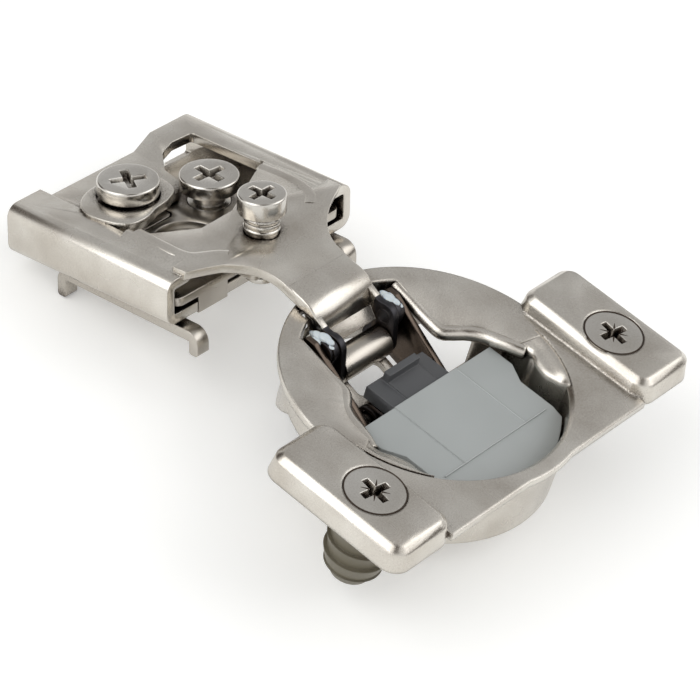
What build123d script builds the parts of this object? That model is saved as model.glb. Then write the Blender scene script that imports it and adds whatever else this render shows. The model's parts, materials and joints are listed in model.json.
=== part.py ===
"""Concealed cup hinge for face-frame cabinets, soft-close, shown fully open.

Frame: the origin is on the axis of the cup at the door's inside face.  +Z points out
of the door, +X runs from the cup towards the cabinet frame, Y runs along the door edge.
All sizes are in millimetres.  The head of the arm has its own plane, HEAD, tilted by
the part of the opening angle that goes past a right angle.
"""
from build123d import *
import os
from math import acos, atan, cos, degrees, radians, sin, sqrt, tan

os.makedirs("parts", exist_ok=True)

# ---------------------------------------------------------------- driving dimensions
# cup and flange
CUP_D = 35.0            # drilling in the door
CUP_DEPTH = 10.8        # flange underside to cup bottom
SHEET_CUP = 1.0         # steel of the flange and cup bottom
WALL_CUP = 0.8          # drawn thinner in the cup wall
FOLD = 0.6              # sloped fold between flange and cup wall
CUP_BOTTOM_BEVEL = 1.3  # round the outside of the cup bottom
RIM_D = 38.1            # round rim on the door face
FLANGE_LENGTH = 56.8    # along the door edge
FLANGE_BACK = 18.6      # cup axis to the long back edge
PAD_WIDTH = 10.6        # raised screw pad, along Y
PAD_FRONT = 2.5         # pad edge on the arm side of the cup axis
PAD_TOP = 3.2           # pad face above the door
PAD_DRAFT = 10.0        # slope of the pad's drawn sides, degrees
PAD_CORNER_R = 2.4
PAD_EDGE = 0.7
FIX_INSET = 5.9         # screw and dowel centres in from the flange's ends
FIX_BACK = 9.5          # screw row behind the cup axis
DISH_SLOPE = 18.0       # the collar round the arm slot dips into the cup, degrees
DISH_INNER_R = 8.0
ARM_SLOT_WIDTH = 17.8   # slot in the collar for the bracket, links and arm
ARM_SLOT_BACK = 5.0     # where the slot opens out towards the damper
DAMPER_MOUTH = 26.2     # width between the collar's ends, in front of the damper
MOUTH_BACK = 1.6
MOUTH_FLARE = 3.2
ARM_NOTCH_HALF = 5.75    # notch in the rim wall under the arm's crest
ARM_NOTCH_END = 17.25
ARM_NOTCH_DEPTH = 3.0
WINDOW_FRONT = 5.2      # open bottom of the cup starts here
WINDOW_SIDE_TOP = 4.2   # side windows reach up to this depth
WINDOW_SIDE_END = 9.0
FRONT_WALL_DEPTH = 8.3  # short wall on the arm side
FRONT_WALL_START = 13.5

# flange screws and dowels
SCREW_HEAD_D = 7.6
SCREW_SHANK_D = 3.5
SCREW_END = 8.6         # tip below the door face
RECESS_WIDTH = 3.9
RECESS_BLADE = 0.95
RECESS_DEPTH = 1.7
RECESS_DRAFT = 7.0      # slope of a recess's walls, degrees
DOWEL_D = 8.0
DOWEL_LENGTH = 10.0
DOWEL_RIBS = 4
DOWEL_RIB_HEIGHT = 0.45
DOWEL_NECK_D = 6.6
DOWEL_SIDES = 16
DOWEL_GAP = 0.1         # dowel to the pad's inner wall
SEAT_GAP = 0.05         # face to face seats

# linkage: pivots in the X-Z plane with the hinge fully open
OUTER_PIVOT = (13.05, -5.82)    # outer links in the cup
INNER_PIVOT = (3.99, -6.47)     # inner link in the cup
ARM_PIVOT = (11.77, -0.80)      # outer links in the arm
KNUCKLE_PIVOT = (11.02, -4.31)  # inner link in the arm
PIN_FIT = 0.05                  # running fit on every pin, radial
KNUCKLE_PLAY = 0.42             # play of the knuckle pin in the inner link, radial
INNER_PIN_R = 1.0
KNUCKLE_PIN_R = 0.8
RIVET_R = 0.9
INNER_LINK_SHEET = 0.85
INNER_LINK_HALF = 4.25
INNER_LINK_WINDOW = 6.0
WINDOW_START = 7.0      # window in the inner link, along X
WINDOW_END = 10.1
EAR_SHEET = 0.9
EAR_OUTER = 5.3         # half width of the arm at its ears
EAR_R = 1.75
LAYER_GAP = 0.15        # between ears, links and bracket along the pins
OUTER_LINK_SHEET = 1.0
OUTER_LINK_R = 1.6
RIVET_HEAD_R = 1.4
RIVET_HEAD = 0.4
BRACKET_SHEET = 0.8
BRACKET_INNER = 7.1     # half the inside width of the bracket
BRACKET_BASE_BACK = 0.9
BRACKET_BASE_FRONT = 4.8
SPRING_WIRE_D = 0.6
SPRING_TURNS = 1.5
SPRING_INNER_R = 1.15
SPRING_LEG = 1.9

# damper
HOUSING_FRONT = 0.7
HOUSING_TOP = 1.5       # below the door face
HOUSING_HALF = 12.3
FLANK_STEP_START = 3.0
FLANK_STEP_END = 5.6
FLANK_HALF = 10.8
HOUSING_RIDGE = 10.4    # top turns down behind this line
HOUSING_BACK_DROP = 2.2
HOUSING_CLEARANCE = 0.25
HOUSING_CENTRE_HALF = 5.8
SLIDER_TRAVEL = 2.6
SLIDER_FRONT = 5.6
SLIDER_BACK = 4.5
SLIDER_HALF = 2.8
SLIDER_FOOT_HALF = 5.2
SLIDER_TOP = 2.0
SLIDER_STEP = 2.3
SLIDER_BOTTOM = 4.2
SLIDER_PLAY = 0.15
LUG_LENGTH = 1.5
LUG_HALF = 2.0
DAMPER_AXIS_DEPTH = 6.9
DAMPER_R = 2.3
DAMPER_BACK = 14.6
DAMPER_FRONT = 7.9
ROD_R = 0.7

# arm
OPENING = 105.0         # full opening angle
HEAD_TILT = OPENING - 90.0
HEAD_RISE = 9.65        # pivot frame origin to the head's top face, along its normal
SHEET_ARM = 1.3
HEAD_WIDTH = 33.6
HEAD_DEPTH = (6.2, 6.9)  # at the front and at the end
HEAD_FRONT = 27.6
HEAD_END = 54.6
HEAD_BEND_R = 1.7
LIP_INNER = 11.4        # half the gap between the lips
VALLEY_DROP = 1.6
PLATFORM_RISE = 0.8
NECK_HALF = 5.3
NECK_TOP = 2.6          # top of the neck over the rim
NECK_OVER_RIM = 18.4
CREST_X = 16.2
ARM_TIP = (12.6, -2.0)

# head pieces
CARRIER_TOP = 3.05      # below the head's top face
CARRIER_SHEET = 1.2
CARRIER_END = 51.0
CARRIER_TONGUE = 24.9
FOOT_HALF = (6.0, 11.2)
CAM_STEM_R = 2.8
CAM_PIN_R = 1.2
CAM_FIT = 0.05
CAM_SLOT_PLAY = 0.40
DEPTH_CAM = (45.3, 4.9)
HEIGHT_CAM = (41.0, -5.2)
SIDE_SCREW = (26.8, 0.8)
CAM_HEAD_R = 3.95
CAM_HEAD = 1.9
CAM_NECK_R = 3.5
DEPTH_CAM_TOP = 2.6
HEIGHT_CAM_TOP = 0.8
SIDE_SCREW_TOP = 6.2
SIDE_HEAD_R = 3.05
SIDE_HEAD = 2.5
SIDE_THREAD_R = 2.2
SIDE_NECK_R = 1.3
SIDE_COLLAR_R = 2.0
SHOE_PLAY = 0.18
BASE_TOP = 6.9
BASE_SHEET = 1.4
BASE_HALF = 14.7
BASE_BOSS_TOP = 4.45
BASE_BOSS_R = 4.0
FRAME_THICKNESS = 20.6  # face frame gripped between the tabs
FRAME_CLEARANCE = 0.2
TAB_FRONT = 26.0
TAB_WIDTH = 2.0
TAB_DROP = (1.8, 2.6)   # front and back tabs, below the plate
TAB_BEND_R = 1.8
BASE_FRONT = 30.0
BASE_BACK = 45.4
FRAME_SCREW = (36.6, 3.6)
FRAME_HOLE_R = 2.25

SCREW_HEAD_EDGE = 0.25
DOWEL_LEAD = 1.6
RIVET_SEAT = 0.02       # fixed pins in their holes, radial
RIVET_COLLAR_R = 1.3
BRACKET_CORNER_R = 0.5
BRACKET_OUTLINE = (     # side view of each cheek
    (12.6, 0.5),
    (14.2, 0.5),
    (14.3, -7.3),
    (5.5, -9.75),
    (0.9, -9.75),
    (0.9, -6.1),
    (2.6, -5.2),
)
CURL_END_ANGLE = 25.0
CURL_SLIT = 0.3
SPRING_GAP = 0.08
SPRING_WIRE_SIDES = 5
HOUSING_SIDE_STEP = 0.15
DAMPER_WALL = 0.6
DAMPER_SEAT = 0.8
PISTON_LENGTH = 1.5
PISTON_GAP = 0.5
ROD_SEAT = 0.8
SLIDER_BEVEL = 0.4
SLIDER_LIP = 1.1        # height of the lip that the arm pushes
SLIDER_LIP_SHEET = 1.0
SLIDER_LIP_FRONT = 5.2
NECK_START = 25.0
CREST_FALL = 0.2
CREST_LOW = (14.1, -0.5)
CREST_R = 1.35
NECK_FLARE = (20.5, 25.6, 28.8)
NECK_FLARE_HALF = 8.1
EAR_SHOULDER = (13.2, 0.75)
EAR_ROOT = (15.2, 1.6)
PLATFORM_END = 39.0
PLATFORM = ((13.2, 0), (12.0, PLATFORM_RISE), (-12.0, PLATFORM_RISE), (-13.2, 0))
VALLEY_START = 43.4
VALLEY = ((11.0, 0), (9.0, -VALLEY_DROP), (-5.8, -VALLEY_DROP), (-8.8, 0))
CUTOUT = (              # opening round the cams, seen square to the head
    (50.9, -7.2),
    (50.6, -12.3),
    (38.1, -12.5),
    (36.9, -9.2),
    (32.7, -0.3),
    (32.6, 5.3),
    (34.8, 8.5),
    (37.1, 11.4),
    (45.6, 11.4),
    (45.4, 8.4),
    (43.4, 6.8),
    (43.4, -2.2),
    (44.6, -4.1),
    (48.5, -5.1),
)
CUTOUT_R = 0.6
HEIGHT_HEAD_R = 3.85
HEIGHT_NECK_R = 2.0
DEPTH_TRAVEL = 1.2      # depth travel each way
HEIGHT_TRAVEL = 1.5     # height travel each way
CAM_EDGE = 0.2
CAM_GAP = 0.3
CAM_RECESS_WIDTH = 4.6
FLANGE_SCREW_TURN = -9  # how far each recess is turned, degrees
DEPTH_CAM_TURN = -31
HEIGHT_CAM_TURN = -5
CAM_RECESS_DEPTH = 1.2
SIDE_NECK_PLAY = 0.7
SIDE_COLLAR = 0.75
NECK_SLOT_PLAY = 0.2
SHOE_CENTRE = (45.5, 4.8)
SHOE_LENGTH = 7.2
SHOE_WIDTH = 8.6
SHOE_CORNER_R = 0.8
CARRIER_SIDE_GAP = 0.3
CARRIER_CORNER_R = 1.5
TONGUE_HALF = 4.2
ACCESS_R = 4.2
FOOT_GAP = 0.3
BASE_CORNER_R = 1.0
TAB_TIP_R = 0.4
BOSS_SLOPE = 0.4
BOSS_TAPER = 9.0

# ---------------------------------------------------------------- derived values
CUP_R = CUP_D / 2
CUP_INNER_R = CUP_R - WALL_CUP
RIM_R = RIM_D / 2
FLANGE_HALF = FLANGE_LENGTH / 2
PAD_INNER = FLANGE_HALF - PAD_WIDTH
EAR_INNER = EAR_OUTER - EAR_SHEET
LINK_INNER = EAR_OUTER + LAYER_GAP
LINK_OUTER = LINK_INNER + OUTER_LINK_SHEET
BRACKET_OUTER = BRACKET_INNER + BRACKET_SHEET
FLOOR_Z = -CUP_DEPTH + SHEET_CUP
FIX_HALF = FLANGE_HALF - FIX_INSET
HOLLOW_INNER = FIX_HALF - DOWEL_D / 2 - DOWEL_GAP
FIX_POINTS = [(-FIX_BACK, FIX_HALF), (-FIX_BACK, -FIX_HALF)]
TILT = radians(HEAD_TILT)
CARRIER_BOTTOM = CARRIER_TOP + CARRIER_SHEET
LUG_BOTTOM = DAMPER_AXIS_DEPTH + 1.1
LUG_CHANNEL = LUG_LENGTH + SLIDER_TRAVEL + 2 * SLIDER_PLAY
LUG_CHANNEL_CENTRE = -SLIDER_BACK + (LUG_LENGTH - SLIDER_TRAVEL) / 2
CHANNEL_LENGTH = HOUSING_FRONT + SLIDER_BACK + SLIDER_TRAVEL + SLIDER_PLAY
SLIDER_CHANNELS = (
    (SLIDER_HALF + SLIDER_PLAY, SLIDER_STEP, SLIDER_TOP - SLIDER_PLAY),
    (SLIDER_FOOT_HALF + SLIDER_PLAY, SLIDER_BOTTOM + SLIDER_PLAY, SLIDER_STEP - SLIDER_PLAY),
)
U_DIR = Vector(cos(TILT), 0, -sin(TILT))
N_DIR = Vector(sin(TILT), 0, cos(TILT))
HEAD = Plane(origin=N_DIR * HEAD_RISE, x_dir=U_DIR, z_dir=N_DIR)
HEAD_NORMAL = Axis((0, 0, 0), N_DIR)
XZ_SIDE = Plane(origin=(0, 0, 0), x_dir=(1, 0, 0), z_dir=(0, -1, 0))


def head_xz(a, h):
    """X and Z of the point a along the head and h above its top face."""
    point = U_DIR * a + N_DIR * (HEAD_RISE + h)
    return (point.X, point.Z)


def head_plane(h):
    """The head's plane, raised by h."""
    return HEAD.offset(h)


def in_head(point):
    """Along the head and above its top face, for a corner of a sketch on the side plane."""
    return (point.X, point.Y)


def side_plane(y):
    """An upright plane at y, with its local x and y along X and Z."""
    return XZ_SIDE.offset(-y)


def save(part, label):
    """Label a finished piece and write it as its own file."""
    part.part.label = label
    export_step(part.part, f"parts/{label}.step")
    return part.part


# ---------------------------------------------------------------- cup and flange
def make_cup():
    pad_level = PAD_TOP - SHEET_CUP
    pad_length = FLANGE_BACK + PAD_FRONT
    pad_x = (PAD_FRONT - FLANGE_BACK) / 2
    pad_points = [(pad_x, side * (PAD_INNER + FLANGE_HALF) / 2) for side in (1, -1)]
    dish_run = CUP_INNER_R - DISH_INNER_R
    dish_drop = dish_run * tan(radians(DISH_SLOPE))
    with BuildPart() as cup:
        with BuildSketch(Plane.XY):
            Circle(RIM_R)
            with Locations((-FLANGE_BACK / 2, 0)):
                Rectangle(FLANGE_BACK, 2 * HOLLOW_INNER)
        extrude(amount=SHEET_CUP)
        # drawn cup
        with BuildSketch(Plane.XY.offset(-CUP_DEPTH)):
            Circle(CUP_R)
        extrude(amount=CUP_DEPTH)
        chamfer(cup.edges().group_by(Axis.Z)[0], CUP_BOTTOM_BEVEL)
        # drawn screw pads
        with BuildSketch(Plane.XY):
            with Locations(*pad_points):
                RectangleRounded(pad_length, PAD_WIDTH, PAD_CORNER_R)
        extrude(amount=PAD_TOP, taper=PAD_DRAFT)
        chamfer(cup.faces().sort_by(Axis.Z)[-2:].edges(), PAD_EDGE)
        # inside of the cup
        with BuildSketch(Plane.XY.offset(FLOOR_Z)):
            Circle(CUP_INNER_R)
        extrude(amount=CUP_DEPTH + SHEET_CUP, mode=Mode.SUBTRACT)
        # hollow under each pad, with room for the dowel's head
        hollow_outer = FLANGE_HALF - SHEET_CUP
        hollow_centre = (HOLLOW_INNER + hollow_outer) / 2
        with BuildSketch(Plane.XY):
            with Locations((pad_x, hollow_centre), (pad_x, -hollow_centre)):
                Rectangle(pad_length - 2 * SHEET_CUP, hollow_outer - HOLLOW_INNER)
        extrude(amount=pad_level, taper=PAD_DRAFT, mode=Mode.SUBTRACT)
        # collar that dips towards the arm slot
        with BuildSketch(Plane.XZ):
            with BuildLine():
                Polyline(
                    (CUP_INNER_R + SHEET_CUP / 2, SHEET_CUP),
                    (CUP_INNER_R, SHEET_CUP),
                    (DISH_INNER_R, SHEET_CUP - dish_drop),
                    (DISH_INNER_R, -dish_drop),
                    (CUP_INNER_R, 0),
                    (CUP_INNER_R + SHEET_CUP / 2, 0),
                    close=True,
                )
            make_face()
        revolve(axis=Axis.Z)
        # opening over the damper and slot for the arm
        with BuildSketch(Plane.XY.offset(-CUP_DEPTH / 2)):
            with BuildLine():
                slot_half = ARM_SLOT_WIDTH / 2
                mouth_half = DAMPER_MOUTH / 2
                flare_y = sqrt(CUP_INNER_R ** 2 - MOUTH_FLARE ** 2)
                slot_x = sqrt(CUP_INNER_R ** 2 - slot_half ** 2)
                Line((slot_x, 0), (slot_x, slot_half))
                Line((slot_x, slot_half), (ARM_SLOT_BACK, slot_half))
                shoulder = TangentArc((ARM_SLOT_BACK, slot_half), (0, mouth_half), tangent=(-0.1, 1))
                lip_end = Line(shoulder @ 1, (-MOUTH_BACK, mouth_half))
                Line(lip_end @ 1, (-MOUTH_FLARE, flare_y))
                ThreePointArc(
                    (-MOUTH_FLARE, flare_y), Vector(-CUP_INNER_R, 0).rotate(Axis.Z, -30), (-CUP_INNER_R, 0)
                )
                Line((-CUP_INNER_R, 0), (slot_x, 0))
            make_face()
            mirror(about=Plane.XZ)
            with BuildLine():
                ThreePointArc((slot_x, slot_half), (CUP_INNER_R, 0), (slot_x, -slot_half))
                Line((slot_x, slot_half), (slot_x, -slot_half))
            make_face()
        extrude(amount=CUP_DEPTH, mode=Mode.SUBTRACT)
        # notch in the rim wall that the crest of the arm dips into
        with BuildSketch(Plane.XY.offset(-ARM_NOTCH_DEPTH)):
            with Locations((ARM_NOTCH_END / 2, 0)):
                Rectangle(ARM_NOTCH_END, 2 * ARM_NOTCH_HALF)
        extrude(amount=CUP_DEPTH, mode=Mode.SUBTRACT)
        # fold between flange and cup wall, round the damper
        fold_start = acos(-MOUTH_FLARE / CUP_INNER_R)
        fold_side = Vector(cos(fold_start), sin(fold_start), 0)
        with BuildSketch(Plane(origin=(0, 0, 0), x_dir=fold_side, z_dir=fold_side.rotate(Axis.Z, -90))):
            Polygon(
                (CUP_INNER_R, SHEET_CUP - FOLD),
                (CUP_INNER_R + FOLD, SHEET_CUP),
                (CUP_INNER_R, SHEET_CUP),
                align=None,
            )
        revolve(axis=Axis.Z, revolution_arc=360 - 2 * degrees(fold_start), mode=Mode.SUBTRACT)
        # open bottom and side windows on the arm side
        with BuildSketch(Plane.XZ):
            with BuildLine():
                Polyline(
                    (WINDOW_FRONT, -CUP_DEPTH - 1),
                    (WINDOW_FRONT, -WINDOW_SIDE_TOP),
                    (WINDOW_SIDE_END, -WINDOW_SIDE_TOP),
                    (FRONT_WALL_START, -FRONT_WALL_DEPTH),
                    (CUP_R + 1, -FRONT_WALL_DEPTH),
                    (CUP_R + 1, -CUP_DEPTH - 1),
                    close=True,
                )
            make_face()
        extrude(amount=CUP_R + 1, both=True, mode=Mode.SUBTRACT)
        # countersunk screw holes
        head_r = SCREW_HEAD_D / 2 + SEAT_GAP
        shank_r = SCREW_SHANK_D / 2 + SEAT_GAP
        cone_end = PAD_TOP - SCREW_HEAD_EDGE - head_r + shank_r
        for x, y in FIX_POINTS:
            with BuildSketch(side_plane(y)):
                Polygon(
                    (x, PAD_TOP),
                    (x + head_r, PAD_TOP),
                    (x + head_r, PAD_TOP - SCREW_HEAD_EDGE),
                    (x + shank_r, cone_end),
                    (x + shank_r, 0),
                    (x, 0),
                    align=None,
                )
            revolve(axis=Axis((x, y, 0), (0, 0, 1)), mode=Mode.SUBTRACT)
    return save(cup, "cup")


# ---------------------------------------------------------------- fixings in the door
def cut_cross(top, point, width, depth, turn=0):
    """Cut a tapered cross recess into the piece being built, down from the plane."""
    blade = width * RECESS_BLADE / RECESS_WIDTH
    with BuildSketch(top) as mouth:
        with Locations(Location(point, turn)):
            Rectangle(width, blade)
            Rectangle(blade, width)
    extrude(mouth.sketch, amount=-depth, taper=RECESS_DRAFT, mode=Mode.SUBTRACT)


def make_flange_screws():
    head_r = SCREW_HEAD_D / 2
    shank_r = SCREW_SHANK_D / 2
    length = PAD_TOP + SCREW_END
    with BuildPart() as screw:
        with BuildSketch(Plane.XZ):
            Polygon(
                (0, 0),
                (head_r, 0),
                (head_r, -SCREW_HEAD_EDGE),
                (shank_r, -SCREW_HEAD_EDGE - head_r + shank_r),
                (shank_r, -length),
                (0, -length),
                align=None,
            )
        revolve(axis=Axis.Z)
        cut_cross(Plane.XY, (0, 0), RECESS_WIDTH, RECESS_DEPTH, FLANGE_SCREW_TURN)
    with BuildPart() as screws:
        with Locations(*[(x, y, PAD_TOP) for x, y in FIX_POINTS]):
            add(screw.part)
    return save(screws, "flange_screws")


def make_dowels():
    outer_r = DOWEL_D / 2
    neck_r = DOWEL_NECK_D / 2
    hole_r = SCREW_SHANK_D / 2 + SEAT_GAP
    neck_top = PAD_TOP - SHEET_CUP - SEAT_GAP
    sink_r = SCREW_HEAD_D / 2 + SEAT_GAP - (PAD_TOP - SCREW_HEAD_EDGE - neck_top)
    pitch = (DOWEL_LENGTH - DOWEL_LEAD) / DOWEL_RIBS
    bands = [(outer_r, -rib * pitch, pitch, DOWEL_RIB_HEIGHT) for rib in range(DOWEL_RIBS)]
    bands.append((neck_r, -DOWEL_RIBS * pitch, DOWEL_LEAD, DOWEL_LEAD / 2))
    with BuildPart() as dowel:
        with BuildSketch(Plane.XY):
            RegularPolygon(neck_r, DOWEL_SIDES)
        extrude(amount=neck_top)
        # barbs and lead-in, each narrowing downwards
        for radius, level, height, narrowing in bands:
            with BuildSketch(Plane(origin=(0, 0, level), z_dir=(0, 0, -1))):
                RegularPolygon(radius, DOWEL_SIDES)
            extrude(amount=height, taper=degrees(atan(narrowing / height)))
        with BuildSketch(Plane.XZ):
            Polygon(
                (0, neck_top),
                (sink_r, neck_top),
                (sink_r, neck_top - sink_r + hole_r),
                (hole_r, neck_top - sink_r + hole_r),
                (hole_r, -DOWEL_LENGTH),
                (0, -DOWEL_LENGTH),
                align=None,
            )
        revolve(axis=Axis.Z, mode=Mode.SUBTRACT)
    with BuildPart() as dowels:
        with Locations(*FIX_POINTS):
            add(dowel.part)
    return save(dowels, "dowels")


# ---------------------------------------------------------------- linkage in the cup
def disc(plane, point, radius):
    """A round sketch on a plane."""
    with BuildSketch(plane) as face:
        with Locations(point):
            Circle(radius)
    return face.sketch


def add_pin(pivot, radius, start, end, mode=Mode.ADD):
    """A cylinder along Y at a pivot, in the piece being built."""
    extrude(disc(side_plane(start), pivot, radius), amount=start - end, mode=mode)


def make_pivot_bracket():
    with BuildPart() as bracket:
        with BuildSketch(side_plane(BRACKET_INNER)):
            Polygon(*BRACKET_OUTLINE, align=None)
            fillet(vertices().group_by(Axis.Y)[-1], BRACKET_CORNER_R)
        extrude(amount=-BRACKET_SHEET)
        mirror(about=Plane.XZ)
        with BuildSketch(Plane.XY.offset(FLOOR_Z + SEAT_GAP)):
            with Locations(((BRACKET_BASE_BACK + BRACKET_BASE_FRONT) / 2, 0)):
                Rectangle(BRACKET_BASE_FRONT - BRACKET_BASE_BACK, 2 * BRACKET_OUTER)
        extrude(amount=BRACKET_SHEET)
        add_pin(INNER_PIVOT, INNER_PIN_R + RIVET_SEAT, -BRACKET_OUTER, BRACKET_OUTER, Mode.SUBTRACT)
        add_pin(OUTER_PIVOT, RIVET_R + RIVET_SEAT, -BRACKET_OUTER, BRACKET_OUTER, Mode.SUBTRACT)
    return save(bracket, "pivot_bracket")


def make_outer_pivot_rivets():
    with BuildPart() as rivets:
        add_pin(OUTER_PIVOT, RIVET_R, LINK_INNER + RIVET_SEAT, BRACKET_OUTER)
        add_pin(OUTER_PIVOT, RIVET_COLLAR_R, LINK_OUTER + SEAT_GAP, BRACKET_INNER - SEAT_GAP)
        mirror(about=Plane.XZ)
    return save(rivets, "outer_pivot_rivets")


def make_inner_pivot_pin():
    with BuildPart() as pin:
        add_pin(INNER_PIVOT, INNER_PIN_R, -BRACKET_OUTER, BRACKET_OUTER)
    return save(pin, "inner_pivot_pin")


def make_outer_link(side, label):
    with BuildPart() as link:
        with BuildSketch(side_plane(LINK_INNER)):
            with Locations(OUTER_PIVOT, ARM_PIVOT):
                Circle(OUTER_LINK_R)
            make_hull()
            with Locations(OUTER_PIVOT, ARM_PIVOT):
                Circle(RIVET_R + PIN_FIT, mode=Mode.SUBTRACT)
        extrude(amount=-OUTER_LINK_SHEET)
        if side < 0:
            mirror(about=Plane.XZ, mode=Mode.REPLACE)
    return save(link, label)


def make_inner_link():
    pivot = Vector(*INNER_PIVOT)
    knuckle = Vector(*KNUCKLE_PIVOT)
    span = knuckle - pivot
    length = span.length
    along = Plane(
        origin=(INNER_PIVOT[0], -INNER_LINK_HALF, INNER_PIVOT[1]),
        x_dir=(span.X, 0, span.Y),
        z_dir=(0, -1, 0),
    )
    pivot_bore = INNER_PIN_R + PIN_FIT
    knuckle_bore = KNUCKLE_PIN_R + KNUCKLE_PLAY
    pivot_r = pivot_bore + INNER_LINK_SHEET
    knuckle_r = knuckle_bore + INNER_LINK_SHEET
    with BuildPart() as link:
        with BuildSketch(along):
            Polygon(
                (0, -pivot_r),
                (length, -knuckle_r),
                (length, -knuckle_bore),
                (0, -pivot_bore),
                align=None,
            )
        extrude(amount=-2 * INNER_LINK_HALF)
        with BuildSketch(Plane.XY.offset(FLOOR_Z)):
            with Locations(((WINDOW_START + WINDOW_END) / 2, 0)):
                RectangleRounded(WINDOW_END - WINDOW_START, INNER_LINK_WINDOW, INNER_LINK_SHEET)
        extrude(amount=CUP_DEPTH, mode=Mode.SUBTRACT)
        for place, outer_r, bore_r, end_angle in (
            (0, pivot_r, pivot_bore, -CURL_END_ANGLE),
            (length, knuckle_r, knuckle_bore, 180 + CURL_END_ANGLE),
        ):
            with BuildSketch(along):
                with Locations((place, 0)):
                    Circle(outer_r)
            extrude(amount=-2 * INNER_LINK_HALF)
            with BuildSketch(along):
                with Locations((place, 0)):
                    Circle(bore_r)
                # the slit where the curl ends, just above the sheet
                reach = outer_r + CURL_SLIT
                with Locations(Location((place, 0), end_angle)):
                    with Locations((reach / 2, 0)):
                        Rectangle(reach, CURL_SLIT)
            extrude(amount=-2 * INNER_LINK_HALF, mode=Mode.SUBTRACT)
    return save(link, "inner_link")


def make_closing_springs():
    wire_r = SPRING_WIRE_D / 2
    pitch = SPRING_WIRE_D + SPRING_GAP
    with BuildLine() as path:
        coil = Helix(
            pitch,
            pitch * SPRING_TURNS,
            SPRING_INNER_R + wire_r,
            center=(INNER_PIVOT[0], INNER_LINK_HALF + LAYER_GAP + wire_r, INNER_PIVOT[1]),
            direction=(0, 1, 0),
        )
    with BuildPart() as springs:
        with BuildSketch(Plane(origin=coil @ 0, z_dir=coil % 0)):
            RegularPolygon(wire_r, SPRING_WIRE_SIDES)
        sweep(path=path.wire())
        for cap in springs.faces().filter_by(GeomType.PLANE):
            extrude(cap, amount=SPRING_LEG, dir=(-1, 0, 0))
        mirror(about=Plane.XZ)
    return save(springs, "closing_springs")


# ---------------------------------------------------------------- soft-close damper
def make_damper_housing():
    floor = FLOOR_Z + SEAT_GAP
    top = -HOUSING_TOP
    outer_r = CUP_INNER_R - HOUSING_CLEARANCE
    with BuildPart() as housing:
        with BuildSketch(Plane.XY.offset(floor)):
            Circle(outer_r)
            with Locations((HOUSING_FRONT - outer_r, 0)):
                Rectangle(2 * outer_r, 2 * HOUSING_HALF, mode=Mode.INTERSECT)
        extrude(amount=top - floor)
        # the flanks step in behind the collar's ends
        with BuildSketch(Plane.XY.offset(floor)):
            Polygon(
                (-FLANK_STEP_START, HOUSING_HALF + 1),
                (-FLANK_STEP_START, HOUSING_HALF),
                (-FLANK_STEP_END, FLANK_HALF),
                (-outer_r, FLANK_HALF),
                (-outer_r, HOUSING_HALF + 1),
                align=None,
            )
            mirror(about=Plane.XZ)
        extrude(amount=top - floor, mode=Mode.SUBTRACT)
        # the top turns down behind the ridge
        with BuildSketch(Plane.XZ):
            Polygon(
                (-HOUSING_RIDGE, top),
                (-outer_r - 1, top - HOUSING_BACK_DROP),
                (-outer_r - 1, top + 1),
                (-HOUSING_RIDGE, top + 1),
                align=None,
            )
        extrude(amount=HOUSING_HALF + 1, both=True, mode=Mode.SUBTRACT)
        # the sides of the top lie a little lower
        with BuildSketch(Plane.XY.offset(top)):
            with Locations((-HOUSING_RIDGE / 2, 0)):
                Rectangle(HOUSING_RIDGE + 2 * HOUSING_FRONT + 1, 2 * HOUSING_HALF + 1)
                Rectangle(HOUSING_RIDGE + 2 * HOUSING_FRONT + 2, 2 * HOUSING_CENTRE_HALF, mode=Mode.SUBTRACT)
        extrude(amount=-HOUSING_SIDE_STEP, mode=Mode.SUBTRACT)
        # channels for the slider, its lug and the damper
        for half, low, high in SLIDER_CHANNELS:
            with BuildSketch(Plane.XY.offset(-low)):
                with Locations((HOUSING_FRONT - CHANNEL_LENGTH / 2, 0)):
                    Rectangle(CHANNEL_LENGTH, 2 * half)
            extrude(amount=low - high, mode=Mode.SUBTRACT)
        with BuildSketch(Plane.XY.offset(-LUG_BOTTOM - SLIDER_PLAY)):
            with Locations((LUG_CHANNEL_CENTRE, 0)):
                Rectangle(LUG_CHANNEL, 2 * (LUG_HALF + SLIDER_PLAY))
        extrude(amount=LUG_BOTTOM - SLIDER_BOTTOM + 2 * SLIDER_PLAY, mode=Mode.SUBTRACT)
        with BuildSketch(Plane.YZ.offset(-DAMPER_BACK - SEAT_GAP)):
            with Locations((0, -DAMPER_AXIS_DEPTH)):
                Circle(DAMPER_R + SEAT_GAP)
        extrude(amount=DAMPER_BACK + SEAT_GAP - DAMPER_FRONT + DAMPER_SEAT, mode=Mode.SUBTRACT)
    return save(housing, "damper_housing")


def make_damper_cylinder():
    with BuildPart() as cylinder:
        with BuildSketch(Plane.YZ.offset(-DAMPER_BACK)):
            with Locations((0, -DAMPER_AXIS_DEPTH)):
                Circle(DAMPER_R)
        extrude(amount=DAMPER_BACK - DAMPER_FRONT)
        with BuildSketch(Plane.YZ.offset(-DAMPER_BACK + DAMPER_WALL)):
            with Locations((0, -DAMPER_AXIS_DEPTH)):
                Circle(DAMPER_R - DAMPER_WALL)
        extrude(amount=DAMPER_BACK - DAMPER_FRONT - 2 * DAMPER_WALL, mode=Mode.SUBTRACT)
        with BuildSketch(Plane.YZ.offset(-DAMPER_BACK + 2 * DAMPER_WALL)):
            with Locations((0, -DAMPER_AXIS_DEPTH)):
                Circle(ROD_R + SEAT_GAP)
        extrude(amount=DAMPER_BACK - DAMPER_FRONT, mode=Mode.SUBTRACT)
    return save(cylinder, "damper_cylinder")


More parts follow.
